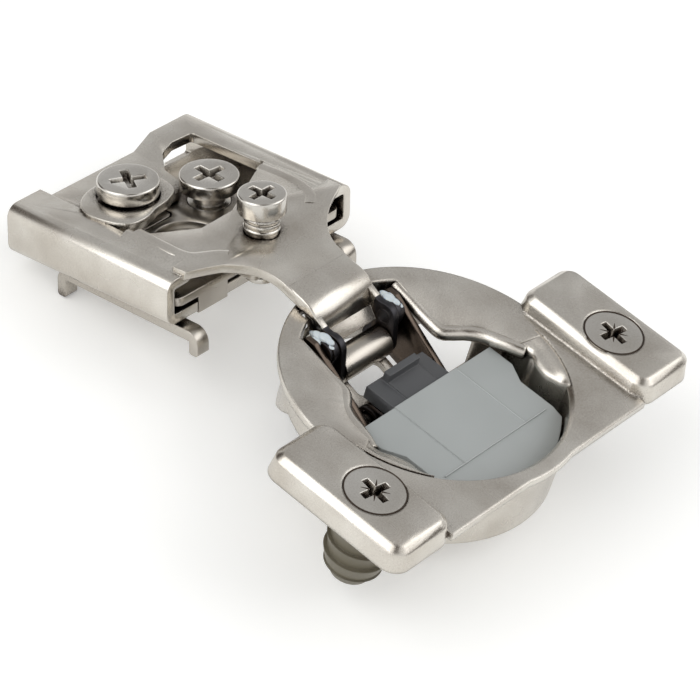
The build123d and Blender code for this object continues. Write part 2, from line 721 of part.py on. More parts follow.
def make_piston_rod():
    piston_front = -DAMPER_FRONT - DAMPER_WALL - PISTON_GAP
    rod_front = -SLIDER_BACK + ROD_SEAT
    with BuildPart() as rod:
        with BuildSketch(Plane.YZ.offset(piston_front - PISTON_LENGTH)):
            with Locations((0, -DAMPER_AXIS_DEPTH)):
                Circle(DAMPER_R - DAMPER_WALL - SEAT_GAP)
        extrude(amount=PISTON_LENGTH)
        with BuildSketch(Plane.YZ.offset(piston_front)):
            with Locations((0, -DAMPER_AXIS_DEPTH)):
                Circle(ROD_R)
        extrude(amount=rod_front - piston_front)
    return save(rod, "piston_rod")


def make_damper_slider():
    length = SLIDER_FRONT + SLIDER_BACK
    centre = (SLIDER_FRONT - SLIDER_BACK) / 2
    with BuildPart() as slider:
        with BuildSketch(Plane.XY.offset(-SLIDER_BOTTOM)):
            with Locations((centre, 0)):
                Rectangle(length, 2 * SLIDER_FOOT_HALF)
        extrude(amount=SLIDER_BOTTOM - SLIDER_STEP)
        with BuildSketch(Plane.XY.offset(-SLIDER_STEP)):
            with Locations((centre, 0)):
                Rectangle(length, 2 * SLIDER_HALF)
        extrude(amount=SLIDER_STEP - SLIDER_TOP)
        chamfer(slider.edges().filter_by(Axis.Y).group_by(Axis.X)[-1].sort_by(Axis.Z)[-1], SLIDER_BEVEL)
        with BuildSketch(Plane.XY.offset(-SLIDER_TOP)):
            with Locations((SLIDER_LIP_FRONT - SLIDER_LIP_SHEET / 2, 0)):
                Rectangle(SLIDER_LIP_SHEET, 2 * SLIDER_HALF)
        extrude(amount=SLIDER_LIP)
        with BuildSketch(Plane.XY.offset(-LUG_BOTTOM)):
            with Locations((-SLIDER_BACK + LUG_LENGTH / 2, 0)):
                Rectangle(LUG_LENGTH, 2 * LUG_HALF)
        extrude(amount=LUG_BOTTOM - SLIDER_BOTTOM)
        with BuildSketch(Plane.YZ.offset(-SLIDER_BACK)):
            with Locations((0, -DAMPER_AXIS_DEPTH)):
                Circle(ROD_R + RIVET_SEAT)
        extrude(amount=ROD_SEAT, mode=Mode.SUBTRACT)
    return save(slider, "damper_slider")


# ---------------------------------------------------------------- arm
def section_plane(a):
    """The plane across the head at a, with its local x and y along Y and the head's normal."""
    return Plane(origin=HEAD.origin + U_DIR * a, x_dir=(0, 1, 0), z_dir=U_DIR)


def sheet_section(points):
    """A closed outline of bent sheet, its top along the points and one sheet thick."""
    under = [(y, h - SHEET_ARM) for y, h in reversed(points)]
    return list(points) + under


def make_arm():
    with BuildPart() as arm:
        # neck and crest
        with BuildSketch(Plane.XZ):
            with BuildLine() as bend:
                path = FilletPolyline(
                    head_xz(HEAD_FRONT + 1.5, PLATFORM_RISE),
                    head_xz(NECK_START, PLATFORM_RISE),
                    (NECK_OVER_RIM, NECK_TOP),
                    (CREST_X, NECK_TOP - CREST_FALL),
                    CREST_LOW,
                    ARM_TIP,
                    radius=CREST_R,
                )
                offset(path, amount=SHEET_ARM, side=Side.LEFT)
            make_face()
        extrude(amount=HEAD_WIDTH / 2, both=True)
        with BuildSketch(Plane.XY.offset(-CUP_DEPTH)):
            with BuildLine():
                start = (ARM_TIP[0] - 1, NECK_HALF)
                straight = Line(start, (NECK_FLARE[0], NECK_HALF))
                flare = Spline(
                    straight @ 1,
                    (NECK_FLARE[1], NECK_FLARE_HALF),
                    (NECK_FLARE[2], HEAD_WIDTH / 2 - 2 * SHEET_ARM),
                    tangents=[(1, 0), (0.4, 1)],
                )
                Line(flare @ 1, (NECK_FLARE[2] + 3, HEAD_WIDTH / 2 - 2 * SHEET_ARM))
                Line((NECK_FLARE[2] + 3, HEAD_WIDTH / 2 - 2 * SHEET_ARM), (NECK_FLARE[2] + 3, 0))
                Line((NECK_FLARE[2] + 3, 0), (start[0], 0))
                Line((start[0], 0), start)
            make_face()
            mirror(about=Plane.XZ)
        extrude(amount=2 * CUP_DEPTH, mode=Mode.INTERSECT)
        # ears
        for side in (1, -1):
            with BuildSketch(side_plane(side * EAR_INNER)):
                with Locations(ARM_PIVOT, KNUCKLE_PIVOT):
                    Circle(EAR_R)
                make_hull()
                Polygon(
                    (ARM_PIVOT[0] - EAR_R / 4, ARM_PIVOT[1] + EAR_R * 0.95),
                    EAR_SHOULDER,
                    EAR_ROOT,
                    (CREST_LOW[0] + SHEET_ARM, CREST_LOW[1] + SHEET_ARM),
                    (ARM_TIP[0] + SHEET_ARM, ARM_TIP[1]),
                    (KNUCKLE_PIVOT[0] + EAR_R * 0.8, KNUCKLE_PIVOT[1] + EAR_R * 0.6),
                    ARM_PIVOT,
                    align=None,
                )
            extrude(amount=-side * EAR_SHEET)
        # channel-shaped head
        ends = []
        for place, depth in zip((HEAD_FRONT, HEAD_END), HEAD_DEPTH):
            with BuildSketch(section_plane(place), mode=Mode.PRIVATE) as channel:
                with Locations((0, -depth / 2)):
                    RectangleRounded(HEAD_WIDTH, depth, HEAD_BEND_R)
                    RectangleRounded(
                        HEAD_WIDTH - 2 * SHEET_ARM,
                        depth - 2 * SHEET_ARM,
                        HEAD_BEND_R - SHEET_ARM,
                        mode=Mode.SUBTRACT,
                    )
                with Locations((0, -depth)):
                    Rectangle(2 * LIP_INNER, 2 * HEAD_BEND_R, mode=Mode.SUBTRACT)
            ends.append(channel.sketch.faces()[0])
        loft(ends, ruled=True)
        # the strips between the walls make room for the platform and the valley
        for start, end, points in ((HEAD_FRONT, PLATFORM_END, PLATFORM), (VALLEY_START, HEAD_END, VALLEY)):
            low, high = points[-1][0], points[0][0]
            with BuildSketch(section_plane(start)):
                with Locations(((low + high) / 2, -SHEET_ARM / 2)):
                    Rectangle(high - low, SHEET_ARM)
            extrude(amount=end - start, mode=Mode.SUBTRACT)
            with BuildSketch(section_plane(start)):
                Polygon(*sheet_section(points), align=None)
            extrude(amount=end - start)
        with BuildSketch(head_plane(-HEAD_BEND_R * 2)):
            Polygon(*CUTOUT, align=None)
            fillet(vertices(), CUTOUT_R)
        extrude(amount=HEAD_BEND_R * 3, mode=Mode.SUBTRACT)
        # holes
        extrude(
            disc(head_plane(-CARRIER_TOP), DEPTH_CAM, CAM_STEM_R + CAM_FIT),
            amount=CARRIER_TOP,
            mode=Mode.SUBTRACT,
        )
        extrude(
            disc(head_plane(-CARRIER_TOP), SIDE_SCREW, SIDE_THREAD_R + CAM_FIT),
            amount=2 * CARRIER_TOP,
            mode=Mode.SUBTRACT,
        )
        add_pin(ARM_PIVOT, RIVET_R + RIVET_SEAT, -EAR_OUTER, EAR_OUTER, Mode.SUBTRACT)
        add_pin(KNUCKLE_PIVOT, KNUCKLE_PIN_R + RIVET_SEAT, -EAR_OUTER, EAR_OUTER, Mode.SUBTRACT)
    return save(arm, "arm")


def make_arm_rivets():
    with BuildPart() as rivets:
        add_pin(ARM_PIVOT, RIVET_R, EAR_INNER, LINK_OUTER + SEAT_GAP)
        add_pin(ARM_PIVOT, RIVET_HEAD_R, LINK_OUTER + SEAT_GAP, LINK_OUTER + SEAT_GAP + RIVET_HEAD)
        mirror(about=Plane.XZ)
    return save(rivets, "arm_rivets")


def make_knuckle_pin():
    with BuildPart() as pin:
        add_pin(KNUCKLE_PIVOT, KNUCKLE_PIN_R, -EAR_OUTER, EAR_OUTER)
    return save(pin, "knuckle_pin")


# ---------------------------------------------------------------- adjusters in the head
def add_discs(point, steps):
    """Stack discs on the head's normal, in the piece being built: (radius, low, high)."""
    for radius, low, high in steps:
        extrude(disc(head_plane(low), point, radius), amount=high - low)


def make_depth_cam():
    a, y = DEPTH_CAM
    head_low = DEPTH_CAM_TOP - CAM_HEAD
    with BuildPart() as cam:
        add_discs(DEPTH_CAM, ((CAM_HEAD_R, head_low, DEPTH_CAM_TOP),))
        chamfer(cam.edges().filter_by(GeomType.CIRCLE).sort_by(HEAD_NORMAL)[-1], CAM_EDGE)
        add_discs(
            DEPTH_CAM,
            (
                (CAM_NECK_R, -VALLEY_DROP + SEAT_GAP, head_low),
                (CAM_STEM_R, -CARRIER_TOP + CAM_GAP, -VALLEY_DROP + SEAT_GAP),
            ),
        )
        add_discs((a, y - DEPTH_TRAVEL), ((CAM_PIN_R, -CARRIER_BOTTOM + SEAT_GAP, -CARRIER_TOP + CAM_GAP),))
        cut_cross(head_plane(DEPTH_CAM_TOP), DEPTH_CAM, CAM_RECESS_WIDTH, CAM_RECESS_DEPTH, DEPTH_CAM_TURN)
    return save(cam, "depth_cam")


def make_height_cam():
    a, y = HEIGHT_CAM
    head_low = HEIGHT_CAM_TOP - CAM_HEAD
    stem_top = -CARRIER_TOP
    stem_low = -CARRIER_BOTTOM - SEAT_GAP
    with BuildPart() as cam:
        add_discs(HEIGHT_CAM, ((HEIGHT_HEAD_R, head_low, HEIGHT_CAM_TOP),))
        chamfer(cam.edges().filter_by(GeomType.CIRCLE).sort_by(HEAD_NORMAL)[-1], CAM_EDGE)
        add_discs(HEIGHT_CAM, ((HEIGHT_NECK_R, stem_top, head_low), (CAM_STEM_R, stem_low, stem_top)))
        add_discs((a + HEIGHT_TRAVEL, y), ((CAM_PIN_R, -BASE_BOSS_TOP - BASE_SHEET, stem_low),))
        cut_cross(head_plane(HEIGHT_CAM_TOP), HEIGHT_CAM, CAM_RECESS_WIDTH, CAM_RECESS_DEPTH, HEIGHT_CAM_TURN)
    return save(cam, "height_cam")


def make_side_screw():
    head_low = SIDE_SCREW_TOP - SIDE_HEAD
    neck_top = -CARRIER_TOP + SIDE_NECK_PLAY
    neck_low = -CARRIER_BOTTOM - SIDE_NECK_PLAY
    with BuildPart() as screw:
        add_discs(SIDE_SCREW, ((SIDE_HEAD_R, head_low, SIDE_SCREW_TOP),))
        chamfer(screw.edges().filter_by(GeomType.CIRCLE).sort_by(HEAD_NORMAL)[-1], CAM_EDGE)
        add_discs(
            SIDE_SCREW,
            (
                (SIDE_THREAD_R, neck_top, head_low),
                (SIDE_NECK_R, neck_low, neck_top),
                (SIDE_COLLAR_R, neck_low - SIDE_COLLAR, neck_low),
            ),
        )
        cut_cross(head_plane(SIDE_SCREW_TOP), SIDE_SCREW, RECESS_WIDTH, CAM_RECESS_DEPTH)
    return save(screw, "side_screw")


def make_depth_shoe():
    a, y = DEPTH_CAM
    with BuildPart() as shoe:
        with BuildSketch(head_plane(-CARRIER_BOTTOM)):
            with Locations(SHOE_CENTRE):
                RectangleRounded(SHOE_LENGTH, SHOE_WIDTH, SHOE_CORNER_R)
            with Locations((a, y - DEPTH_TRAVEL / 2)):
                SlotCenterToCenter(
                    DEPTH_TRAVEL + CAM_FIT * 2,
                    2 * (CAM_PIN_R + CAM_SLOT_PLAY),
                    rotation=90,
                    mode=Mode.SUBTRACT,
                )
        extrude(amount=CARRIER_SHEET)
    return save(shoe, "depth_shoe")


def make_carrier_plate():
    half = HEAD_WIDTH / 2 - SHEET_ARM - CARRIER_SIDE_GAP
    with BuildPart() as carrier:
        with BuildSketch(head_plane(-CARRIER_BOTTOM)):
            with Locations(((HEAD_FRONT + CARRIER_END) / 2, 0)):
                RectangleRounded(CARRIER_END - HEAD_FRONT, 2 * half, CARRIER_CORNER_R)
            with Locations(((CARRIER_TONGUE + HEAD_FRONT) / 2 + CARRIER_CORNER_R, 0)):
                RectangleRounded(
                    HEAD_FRONT - CARRIER_TONGUE + 2 * CARRIER_CORNER_R, 2 * TONGUE_HALF, CARRIER_CORNER_R / 2
                )
            with Locations(SHOE_CENTRE):
                RectangleRounded(
                    SHOE_LENGTH + 2 * SHOE_PLAY, SHOE_WIDTH + 2 * SHOE_PLAY, SHOE_CORNER_R, mode=Mode.SUBTRACT
                )
            with Locations(HEIGHT_CAM):
                Circle(CAM_STEM_R + CAM_FIT, mode=Mode.SUBTRACT)
            with Locations(FRAME_SCREW):
                Circle(ACCESS_R, mode=Mode.SUBTRACT)
            # the slot for the side screw's neck is open at the front
            slot_start = CARRIER_TONGUE - CARRIER_CORNER_R
            slot_end = SIDE_SCREW[0] + DEPTH_TRAVEL
            with Locations((slot_end, SIDE_SCREW[1])):
                Circle(SIDE_NECK_R + NECK_SLOT_PLAY, mode=Mode.SUBTRACT)
            with Locations(((slot_start + slot_end) / 2, SIDE_SCREW[1])):
                Rectangle(slot_end - slot_start, 2 * (SIDE_NECK_R + NECK_SLOT_PLAY), mode=Mode.SUBTRACT)
        extrude(amount=CARRIER_SHEET)
        # feet turned down towards the base plate
        foot_centre = (FOOT_HALF[0] + FOOT_HALF[1]) / 2
        with BuildSketch(head_plane(-BASE_TOP + FOOT_GAP)):
            with Locations(
                (HEAD_FRONT + CARRIER_SHEET / 2, foot_centre), (HEAD_FRONT + CARRIER_SHEET / 2, -foot_centre)
            ):
                Rectangle(CARRIER_SHEET, FOOT_HALF[1] - FOOT_HALF[0])
        extrude(amount=BASE_TOP - FOOT_GAP - CARRIER_TOP)
    return save(carrier, "carrier_plate")


def make_base_plate():
    tab_back = TAB_FRONT + FRAME_THICKNESS + FRAME_CLEARANCE
    under = -BASE_TOP - BASE_SHEET
    boss_height = BASE_TOP - BASE_BOSS_TOP
    side = Plane(origin=HEAD.origin + Vector(0, BASE_HALF, 0), x_dir=U_DIR, z_dir=(0, -1, 0))
    with BuildPart() as base:
        # a strip along each side, turned down into a tab at both ends
        with BuildSketch(side):
            Polygon(
                (TAB_FRONT - BASE_SHEET, under - TAB_DROP[0]),
                (TAB_FRONT - BASE_SHEET, -BASE_TOP),
                (tab_back + BASE_SHEET, -BASE_TOP),
                (tab_back + BASE_SHEET, under - TAB_DROP[1]),
                (tab_back, under - TAB_DROP[1]),
                (tab_back, under),
                (TAB_FRONT, under),
                (TAB_FRONT, under - TAB_DROP[0]),
                align=None,
            )
            bends = vertices().filter_by(lambda corner: in_head(corner)[1] > under + BASE_SHEET / 2)
            fillet(bends, TAB_BEND_R)
            tips = vertices().filter_by(lambda corner: in_head(corner)[1] < under - BASE_SHEET / 2)
            fillet(tips, TAB_TIP_R)
        extrude(amount=TAB_WIDTH)
        mirror(about=Plane.XZ)
        with BuildSketch(head_plane(under)):
            with Locations(((BASE_FRONT + BASE_BACK) / 2, 0)):
                RectangleRounded(BASE_BACK - BASE_FRONT, 2 * BASE_HALF - TAB_WIDTH, BASE_CORNER_R)
        extrude(amount=BASE_SHEET)
        # raised boss under the height cam
        extrude(
            disc(head_plane(-BASE_TOP), HEIGHT_CAM, BASE_BOSS_R + BOSS_SLOPE),
            amount=boss_height,
            taper=BOSS_TAPER,
        )
        extrude(
            disc(head_plane(-BASE_TOP - BASE_SHEET), HEIGHT_CAM, BASE_BOSS_R - BASE_SHEET / 2),
            amount=boss_height,
            mode=Mode.SUBTRACT,
        )
        with BuildSketch(head_plane(-BASE_TOP)):
            with Locations((HEIGHT_CAM[0] + HEIGHT_TRAVEL / 2, HEIGHT_CAM[1])):
                SlotCenterToCenter(HEIGHT_TRAVEL + CAM_FIT * 2, 2 * (CAM_PIN_R + CAM_SLOT_PLAY))
        extrude(amount=boss_height + 1, mode=Mode.SUBTRACT)
        extrude(
            disc(head_plane(-BASE_TOP - BASE_SHEET), FRAME_SCREW, FRAME_HOLE_R),
            amount=BASE_SHEET,
            mode=Mode.SUBTRACT,
        )
    return save(base, "base_plate")


make_cup()
make_flange_screws()
make_dowels()
make_pivot_bracket()
make_outer_pivot_rivets()
make_inner_pivot_pin()
make_outer_link(1, "outer_link_left")
make_outer_link(-1, "outer_link_right")
make_inner_link()
make_closing_springs()
make_damper_housing()
make_damper_cylinder()
make_piston_rod()
make_damper_slider()
make_arm()
make_arm_rivets()
make_knuckle_pin()
make_depth_cam()
make_depth_shoe()
make_carrier_plate()
make_side_screw()
make_height_cam()
make_base_plate()
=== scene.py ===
"""Finishes and stage for a concealed cup hinge: satin nickel sheet, cam screws, damper and studio."""
import json
from functools import partial
from math import cos, pi, radians, sin, tau

import bmesh
import bpy
from bpy.props import FloatProperty, FloatVectorProperty, IntProperty, PointerProperty
from bpy.types import Operator, Panel, PropertyGroup
from mathutils import Euler, Matrix, Vector


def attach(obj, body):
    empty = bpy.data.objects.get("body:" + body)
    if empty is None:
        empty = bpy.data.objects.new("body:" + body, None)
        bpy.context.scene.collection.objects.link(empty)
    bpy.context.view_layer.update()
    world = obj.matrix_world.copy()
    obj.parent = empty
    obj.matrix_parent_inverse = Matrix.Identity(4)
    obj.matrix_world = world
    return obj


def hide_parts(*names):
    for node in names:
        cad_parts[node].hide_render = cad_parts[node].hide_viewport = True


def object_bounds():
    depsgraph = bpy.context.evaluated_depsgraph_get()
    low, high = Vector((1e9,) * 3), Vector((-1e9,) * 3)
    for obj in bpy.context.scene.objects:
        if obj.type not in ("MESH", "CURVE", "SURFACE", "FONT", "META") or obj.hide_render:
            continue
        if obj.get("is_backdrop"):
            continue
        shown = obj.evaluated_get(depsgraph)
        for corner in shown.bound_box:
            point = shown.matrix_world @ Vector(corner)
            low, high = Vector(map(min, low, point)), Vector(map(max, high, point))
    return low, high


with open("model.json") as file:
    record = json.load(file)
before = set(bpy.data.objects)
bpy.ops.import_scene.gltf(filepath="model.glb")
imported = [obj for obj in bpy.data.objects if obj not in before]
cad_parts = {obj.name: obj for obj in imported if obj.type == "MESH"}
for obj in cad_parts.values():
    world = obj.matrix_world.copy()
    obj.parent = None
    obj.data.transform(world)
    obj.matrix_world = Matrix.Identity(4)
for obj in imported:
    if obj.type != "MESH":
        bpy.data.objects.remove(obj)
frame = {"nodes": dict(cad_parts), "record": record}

bl_info = {
    "name": "Concealed Cup Hinge Finishes",
    "version": (1, 0, 0),
    "blender": (4, 5, 0),
    "location": "View3D > Sidebar > Cup Hinge",
    "description": "Dresses a concealed cup hinge in satin nickel, steel and moulded plastic",
    "category": "Object",
}

MM = 0.001
BODY_OF = {
    node: body for body, nodes in frame["record"]["behaviour"]["bodies"].items() for node in nodes
}
SIDES = ((1, "left"), (-1, "right"))    # the sign of Y on each side, and the side's name

# Every size and place below is in millimetres and every angle in degrees, unless it says otherwise.

# how far the edges of the pieces are softened
CUP_EDGE, SHEET_EDGE = 0.3, 0.12
FLANGE_SCREW_EDGE, CAM_EDGE = 0.06, 0.1
HOUSING_EDGE, SLIDER_EDGE = 0.2, 0.15

# the side screw: its place along and across the head, and its thread's ends and radius
SIDE_SCREW = (26.8, 0.8)
THREAD_LOW, THREAD_HIGH = 1.05, 3.6
THREAD_R = 2.05

# the flange screws: their centres, the top of the pads, the painted-shade ring round each head, and
# the four ticks between the arms of its cross, drawn near-black as painted shade
SCREW_BACK, SCREW_ACROSS = -9.5, 22.5
PAD_TOP = 3.2
RING_R, RING_LINE, RING_SUNK = 3.72, 0.1, 0.04
RING_STEPS = 48
STAR_TURN = 45 - 9                      # the first tick's direction: the cross is turned a little
STAR_INNER, STAR_OUTER = 0.75, 1.75
STAR_WIDE, STAR_NARROW = 0.14, 0.03     # half its width at the inner and the outer end
STAR_PROUD, STAR_DEPTH = 0.004, 0.3

# the dowels: the bore is wide above the step's height, and narrow below it
DOWEL_STEP = 0.5
DOWEL_BORE = (3.1, 2.2)
DOWEL_SIDES = 64

# fine raised lines where the housing's top folds and steps, in a paler plastic as a painted highlight
HOUSING_LINE_R = 0.08
HOUSING_LINES = (
    ((-10.65, 9.6, -1.52), (-10.65, -9.6, -1.52)),
    ((0.3, -5.6, -1.52), (-10.6, -5.6, -1.52)),
    ((0.3, 5.6, -1.6), (-10.6, 5.6, -1.6)),
)

# the lip along the cup's mouth, one side: along the hinge, across it, and its top
LIP = (
    (14.2, 9.15, 0.86), (11.5, 9.15, 0.3), (8.6, 9.15, -0.38), (6.2, 9.2, -0.75), (5.2, 10.0, -0.65),
    (3.9, 11.5, -0.45), (2.2, 12.55, -0.2), (0.2, 13.2, 0.0), (-1.4, 13.8, 0.12), (-3.0, 14.5, 0.1),
)
LIP_R, LIP_PROUD = 0.98, 0.06

# the drawn flank beside the damper: angle round the cup, and how far in it comes
FLANK = (
    (91.5, 13.5), (97.2, 14.0), (105.0, 14.7), (112.5, 14.4), (120.2, 14.7), (126.0, 15.9), (130.5, 16.9),
)
FLANK_OUTER, FLANK_TOP = 17.0, 1.02
FLANK_RISEN, FLANK_SUNK = 97.0, 0.5     # it rises out of the collar up to this angle, by this much
FLANK_EDGE, FLANK_FOOT = -0.9, -5.0     # where its inner face starts, and where it ends
FLANK_LEAN = (-0.02, 0.05)              # how much further out than FLANK it stands at these two
# how it falls from the ring to the damper: share of its width, and drop
FLANK_FALL = (
    (0.12, 0.03), (0.25, 0.14), (0.45, 0.42), (0.65, 0.66), (0.82, 0.80), (0.93, 0.98), (1.0, 1.35),
)

# the raised plate under the depth cam: angle round the cam, and how far out it reaches
SEAT_CENTRE = (45.3, 4.9)
SEAT = (
    (0, 4.4), (35, 5.3), (75, 6.7), (105, 6.9), (125, 7.1), (140, 6.9), (180, 4.8), (215, 5.2), (235, 5.9),
    (250, 5.9), (270, 5.9), (290, 5.9), (325, 5.0),
)
SEAT_HOLE = 4.05
SEAT_TOP, SEAT_FOOT = 0.35, -0.9
SEAT_EDGE, SEAT_CORNER = 0.3, 0.09      # the rounding of its top edge, and the middle of that

# the soft ridge that rims the head's raised middle: along and across the head
RIDGE = (
    (
        (38.0, 11.1), (36.0, 11.2), (33.2, 11.3), (30.8, 11.3), (29.2, 10.8), (28.2, 9.6), (27.2, 8.2),
        (26.2, 7.4),
    ),
    ((26.9, -8.2), (28.4, -9.9), (31.0, -11.0), (34.4, -11.2), (37.6, -11.0)),
)
RIDGE_LEVEL = 0.62
RIDGE_HALF, RIDGE_SQUASH = 0.9, 0.3

# the arm's rounded end, in the plane of symmetry: its outer surface and half its width
TIP = (
    (20.0, 2.80, 5.2), (18.4, 2.72, 5.3), (17.2, 2.62, 5.35), (16.2, 2.38, 5.35), (15.25, 1.78, 5.35),
    (14.5, 0.85, 5.3), (14.05, -0.35, 5.1), (13.75, -1.5, 4.7), (13.3, -2.7, 4.35),
)
TIP_SHEET = (0.7, 1.45)                 # its sheet at the knuckle, and at the neck
TIP_TURN = (14.8, 15.8)                 # between these places it goes from one to the other
TIP_EDGE, TIP_CORNER = 0.22, 0.07       # the rounding of its long edges, and the middle of that

# pale grease round the links' pivots: place beside the +Y link, and size of each drop
GREASE = (
    ((12.5, 6.0, 0.6), 0.85), ((13.4, 6.2, 0.4), 0.75), ((11.7, 6.1, 0.7), 0.6), ((13.0, 6.8, 0.2), 0.62),
    ((14.1, 6.0, -0.1), 0.6), ((11.1, 6.4, 0.4), 0.4), ((13.9, 6.9, -0.4), 0.4),
)
GREASE_SHAPE = (1.2, 0.8, 0.5)          # a drop's stretch along, across and in height

# the arm's ears reach from the tip of the arm to here, outside its middle band: they take the links' dark
# steel as painted shade
EAR_END = 13.6
EAR_INNER = 4.35

# the head's own frame: along the head, along the door's edge, and out of its top face
HEAD_TILT = radians(15)
HEAD_RISE = 9.65
HEAD_FRAME = Matrix((
    (cos(HEAD_TILT), 0, sin(HEAD_TILT), HEAD_RISE * sin(HEAD_TILT) * MM),
    (0, 1, 0, 0),
    (-sin(HEAD_TILT), 0, cos(HEAD_TILT), HEAD_RISE * cos(HEAD_TILT) * MM),
    (0, 0, 0, 1),
))

# the stage, in metres: the floor, and how far from the hinge it starts and ends fading to white
FLOOR_REACH, FLOOR_GAP = 3.0, 0.02 * MM
FLOOR_FADE = (0.25, 1.2)
# softboxes: place from the hinge's middle, size, and the setting that holds the brightness
SOFTBOXES = (
    ("near_softbox", (0.30, 0.68, 0.62), 0.90, "key"),
    ("far_softbox", (-0.50, -0.56, 0.64), 0.80, "fill"),
)
# what polished metal mirrors besides the white room: direction of a patch, the cosines of its
# inner and its outer edge, and the setting that holds its tone
ROOM_PATCHES = (
    ((0.50, -0.55, 0.66), 0.93, 0.60, "backdrop"),
    ((-0.15, 0.35, 0.92), 0.97, 0.86, "ceiling"),
    ((-0.75, -0.64, -0.05), 0.97, 0.70, "ceiling"),
    ((0.95, 0.10, 0.20), 0.98, 0.90, "ceiling"),
)
# the camera's place, and its turn about X, Y and Z in degrees
CAMERA_PLACE = (-0.14303, 0.26436, 0.26677)
CAMERA_TURN = (47.24123, -12.54778, -138.21106)
WHITE = (1, 1, 1, 1)


def linear(hex_text):
    """Linear RGBA of an sRGB hex colour."""
    channels = [int(hex_text[i:i + 2], 16) / 255 for i in (0, 2, 4)]
    return tuple(c / 12.92 if c <= 0.04045 else ((c + 0.055) / 1.055) ** 2.4 for c in channels) + (1.0,)


def colour(name, description, hex_text):
    """A colour property with its default given in sRGB hex."""
    return FloatVectorProperty(
        name=name, description=description, subtype="COLOR", size=4, min=0, max=1, default=linear(hex_text)
    )


def length(name, description, millimetres):
    """A length property with its default given in millimetres."""
    return FloatProperty(
        name=name, description=description, subtype="DISTANCE", unit="LENGTH", min=0,
        default=millimetres * MM, precision=5,
    )


# ---------------------------------------------------------------- settings
class HingeFinishSettings(PropertyGroup):
    """Colours and grain of the finishes."""
    nickel: colour("Satin nickel", "Plate on the flange, the arm and the head", "dedad2")
    nickel_deep: colour("Nickel in the grain", "Darker tone in the plate's fine grain", "b9b2a8")
    plate: colour("Inner plates", "Plate on the parts inside the head and the cup", "bdb8b0")
    bright: colour("Screw nickel", "Brighter plate on the screws and cams", "d6d3cd")
    # the links' own dark steel, also put on the arm's ears as painted shade
    burnished: colour("Burnished steel", "Dark links beside the arm's ears", "3f3e41")
    pin: colour("Pin steel", "Rivets and pins", "a9a49d")
    housing: colour("Housing plastic", "Light grey damper housing", "a4a8a7")
    # painted highlight: the paler tone of the lines along the housing's folds
    housing_fold_highlight: colour("Housing edge", "Paler line along the housing's folds", "b9bdbc")
    slider: colour("Slider plastic", "Dark grey damper slider", "4b4c4e")
    dowel: colour("Dowel plastic", "Olive grey barbed dowels", "6e6858")
    cheek: colour("Bracket steel", "Dark brown cheeks of the bracket in the cup", "6a5f56")
    grease: colour("Grease", "Pale grease on the links", "cdd6da")
    # painted shade: the brown that the plate's corners and bends are coloured, and the colour of the painted
    # dark lines; it is also the darker grain tone of the bracket steel
    shade: colour("Shade", "Brown tone that gathers in the corners and bends of the plate", "4a4038")
    grain: length("Grain", "Size of the plate's fine grain", 0.16)
    mould_grain: length("Mould grain", "Size of the texture on the moulded parts", 0.12)
    edge: length("Edge", "Soft rounding along the drawn cup's edges", 0.5)


class HingeThreadSettings(PropertyGroup):
    """The side screw's thread."""
    pitch: length("Pitch", "Spacing of the thread on the side screw", 0.75)
    depth: length("Depth", "Depth of the thread", 0.3)
    steps: IntProperty(name="Steps", description="Steps in each turn", default=40, min=8, max=200)


class HingeStageSettings(PropertyGroup):
    """Floor, light and camera."""
    floor: colour("Floor", "Pale floor", "f4f4f2")
    backdrop: colour("Backdrop", "What flat upward metal mirrors", "c2c2c2")
    ceiling: colour("Ceiling", "Dim ceiling and wall, which the metal's bends mirror", "4d443c")
    lens: FloatProperty(name="Lens", description="Focal length in millimetres", default=173.37, min=1)
    key: FloatProperty(name="Near softbox", description="Brightness of the near softbox", default=1.5, min=0)
    fill: FloatProperty(name="Far softbox", description="Brightness of the far softbox", default=1.2, min=0)
    lift: FloatProperty(name="Floor lift", description="Lifts the floor to white", default=0.25, min=0)
    room: FloatProperty(name="Room", description="Brightness of the room's soft light", default=0.62, min=0)


# ---------------------------------------------------------------- building blocks
# size of the soft clouds in a finish's tone
PLATE_CLOUD, PLASTIC_CLOUD = 7 * MM, 6 * MM
# an edge whose faces turn by more degrees than this stays sharp
SMOOTH_LIMIT = 34


def settings():
    """The colours and grain of the finishes."""
    return bpy.context.scene.hinge_finish


def add_node(tree, kind, inputs=None, **values):
    """Add a node, set its own values, and set or link its inputs."""
    made = tree.nodes.new(kind)
    for name, value in values.items():
        setattr(made, name, value)
    for name, value in (inputs or {}).items():
        if isinstance(value, bpy.types.NodeSocket):
            tree.links.new(value, made.inputs[name])
        else:
            made.inputs[name].default_value = value
    return made


def new_material(name):
    """A new material and its empty tree, or one that was made before and no tree."""
    material = bpy.data.materials.get(name)
    if material:
        return material, None
    material = bpy.data.materials.new(name)
    material.use_nodes = True
    material.node_tree.nodes.clear()
    return material, material.node_tree


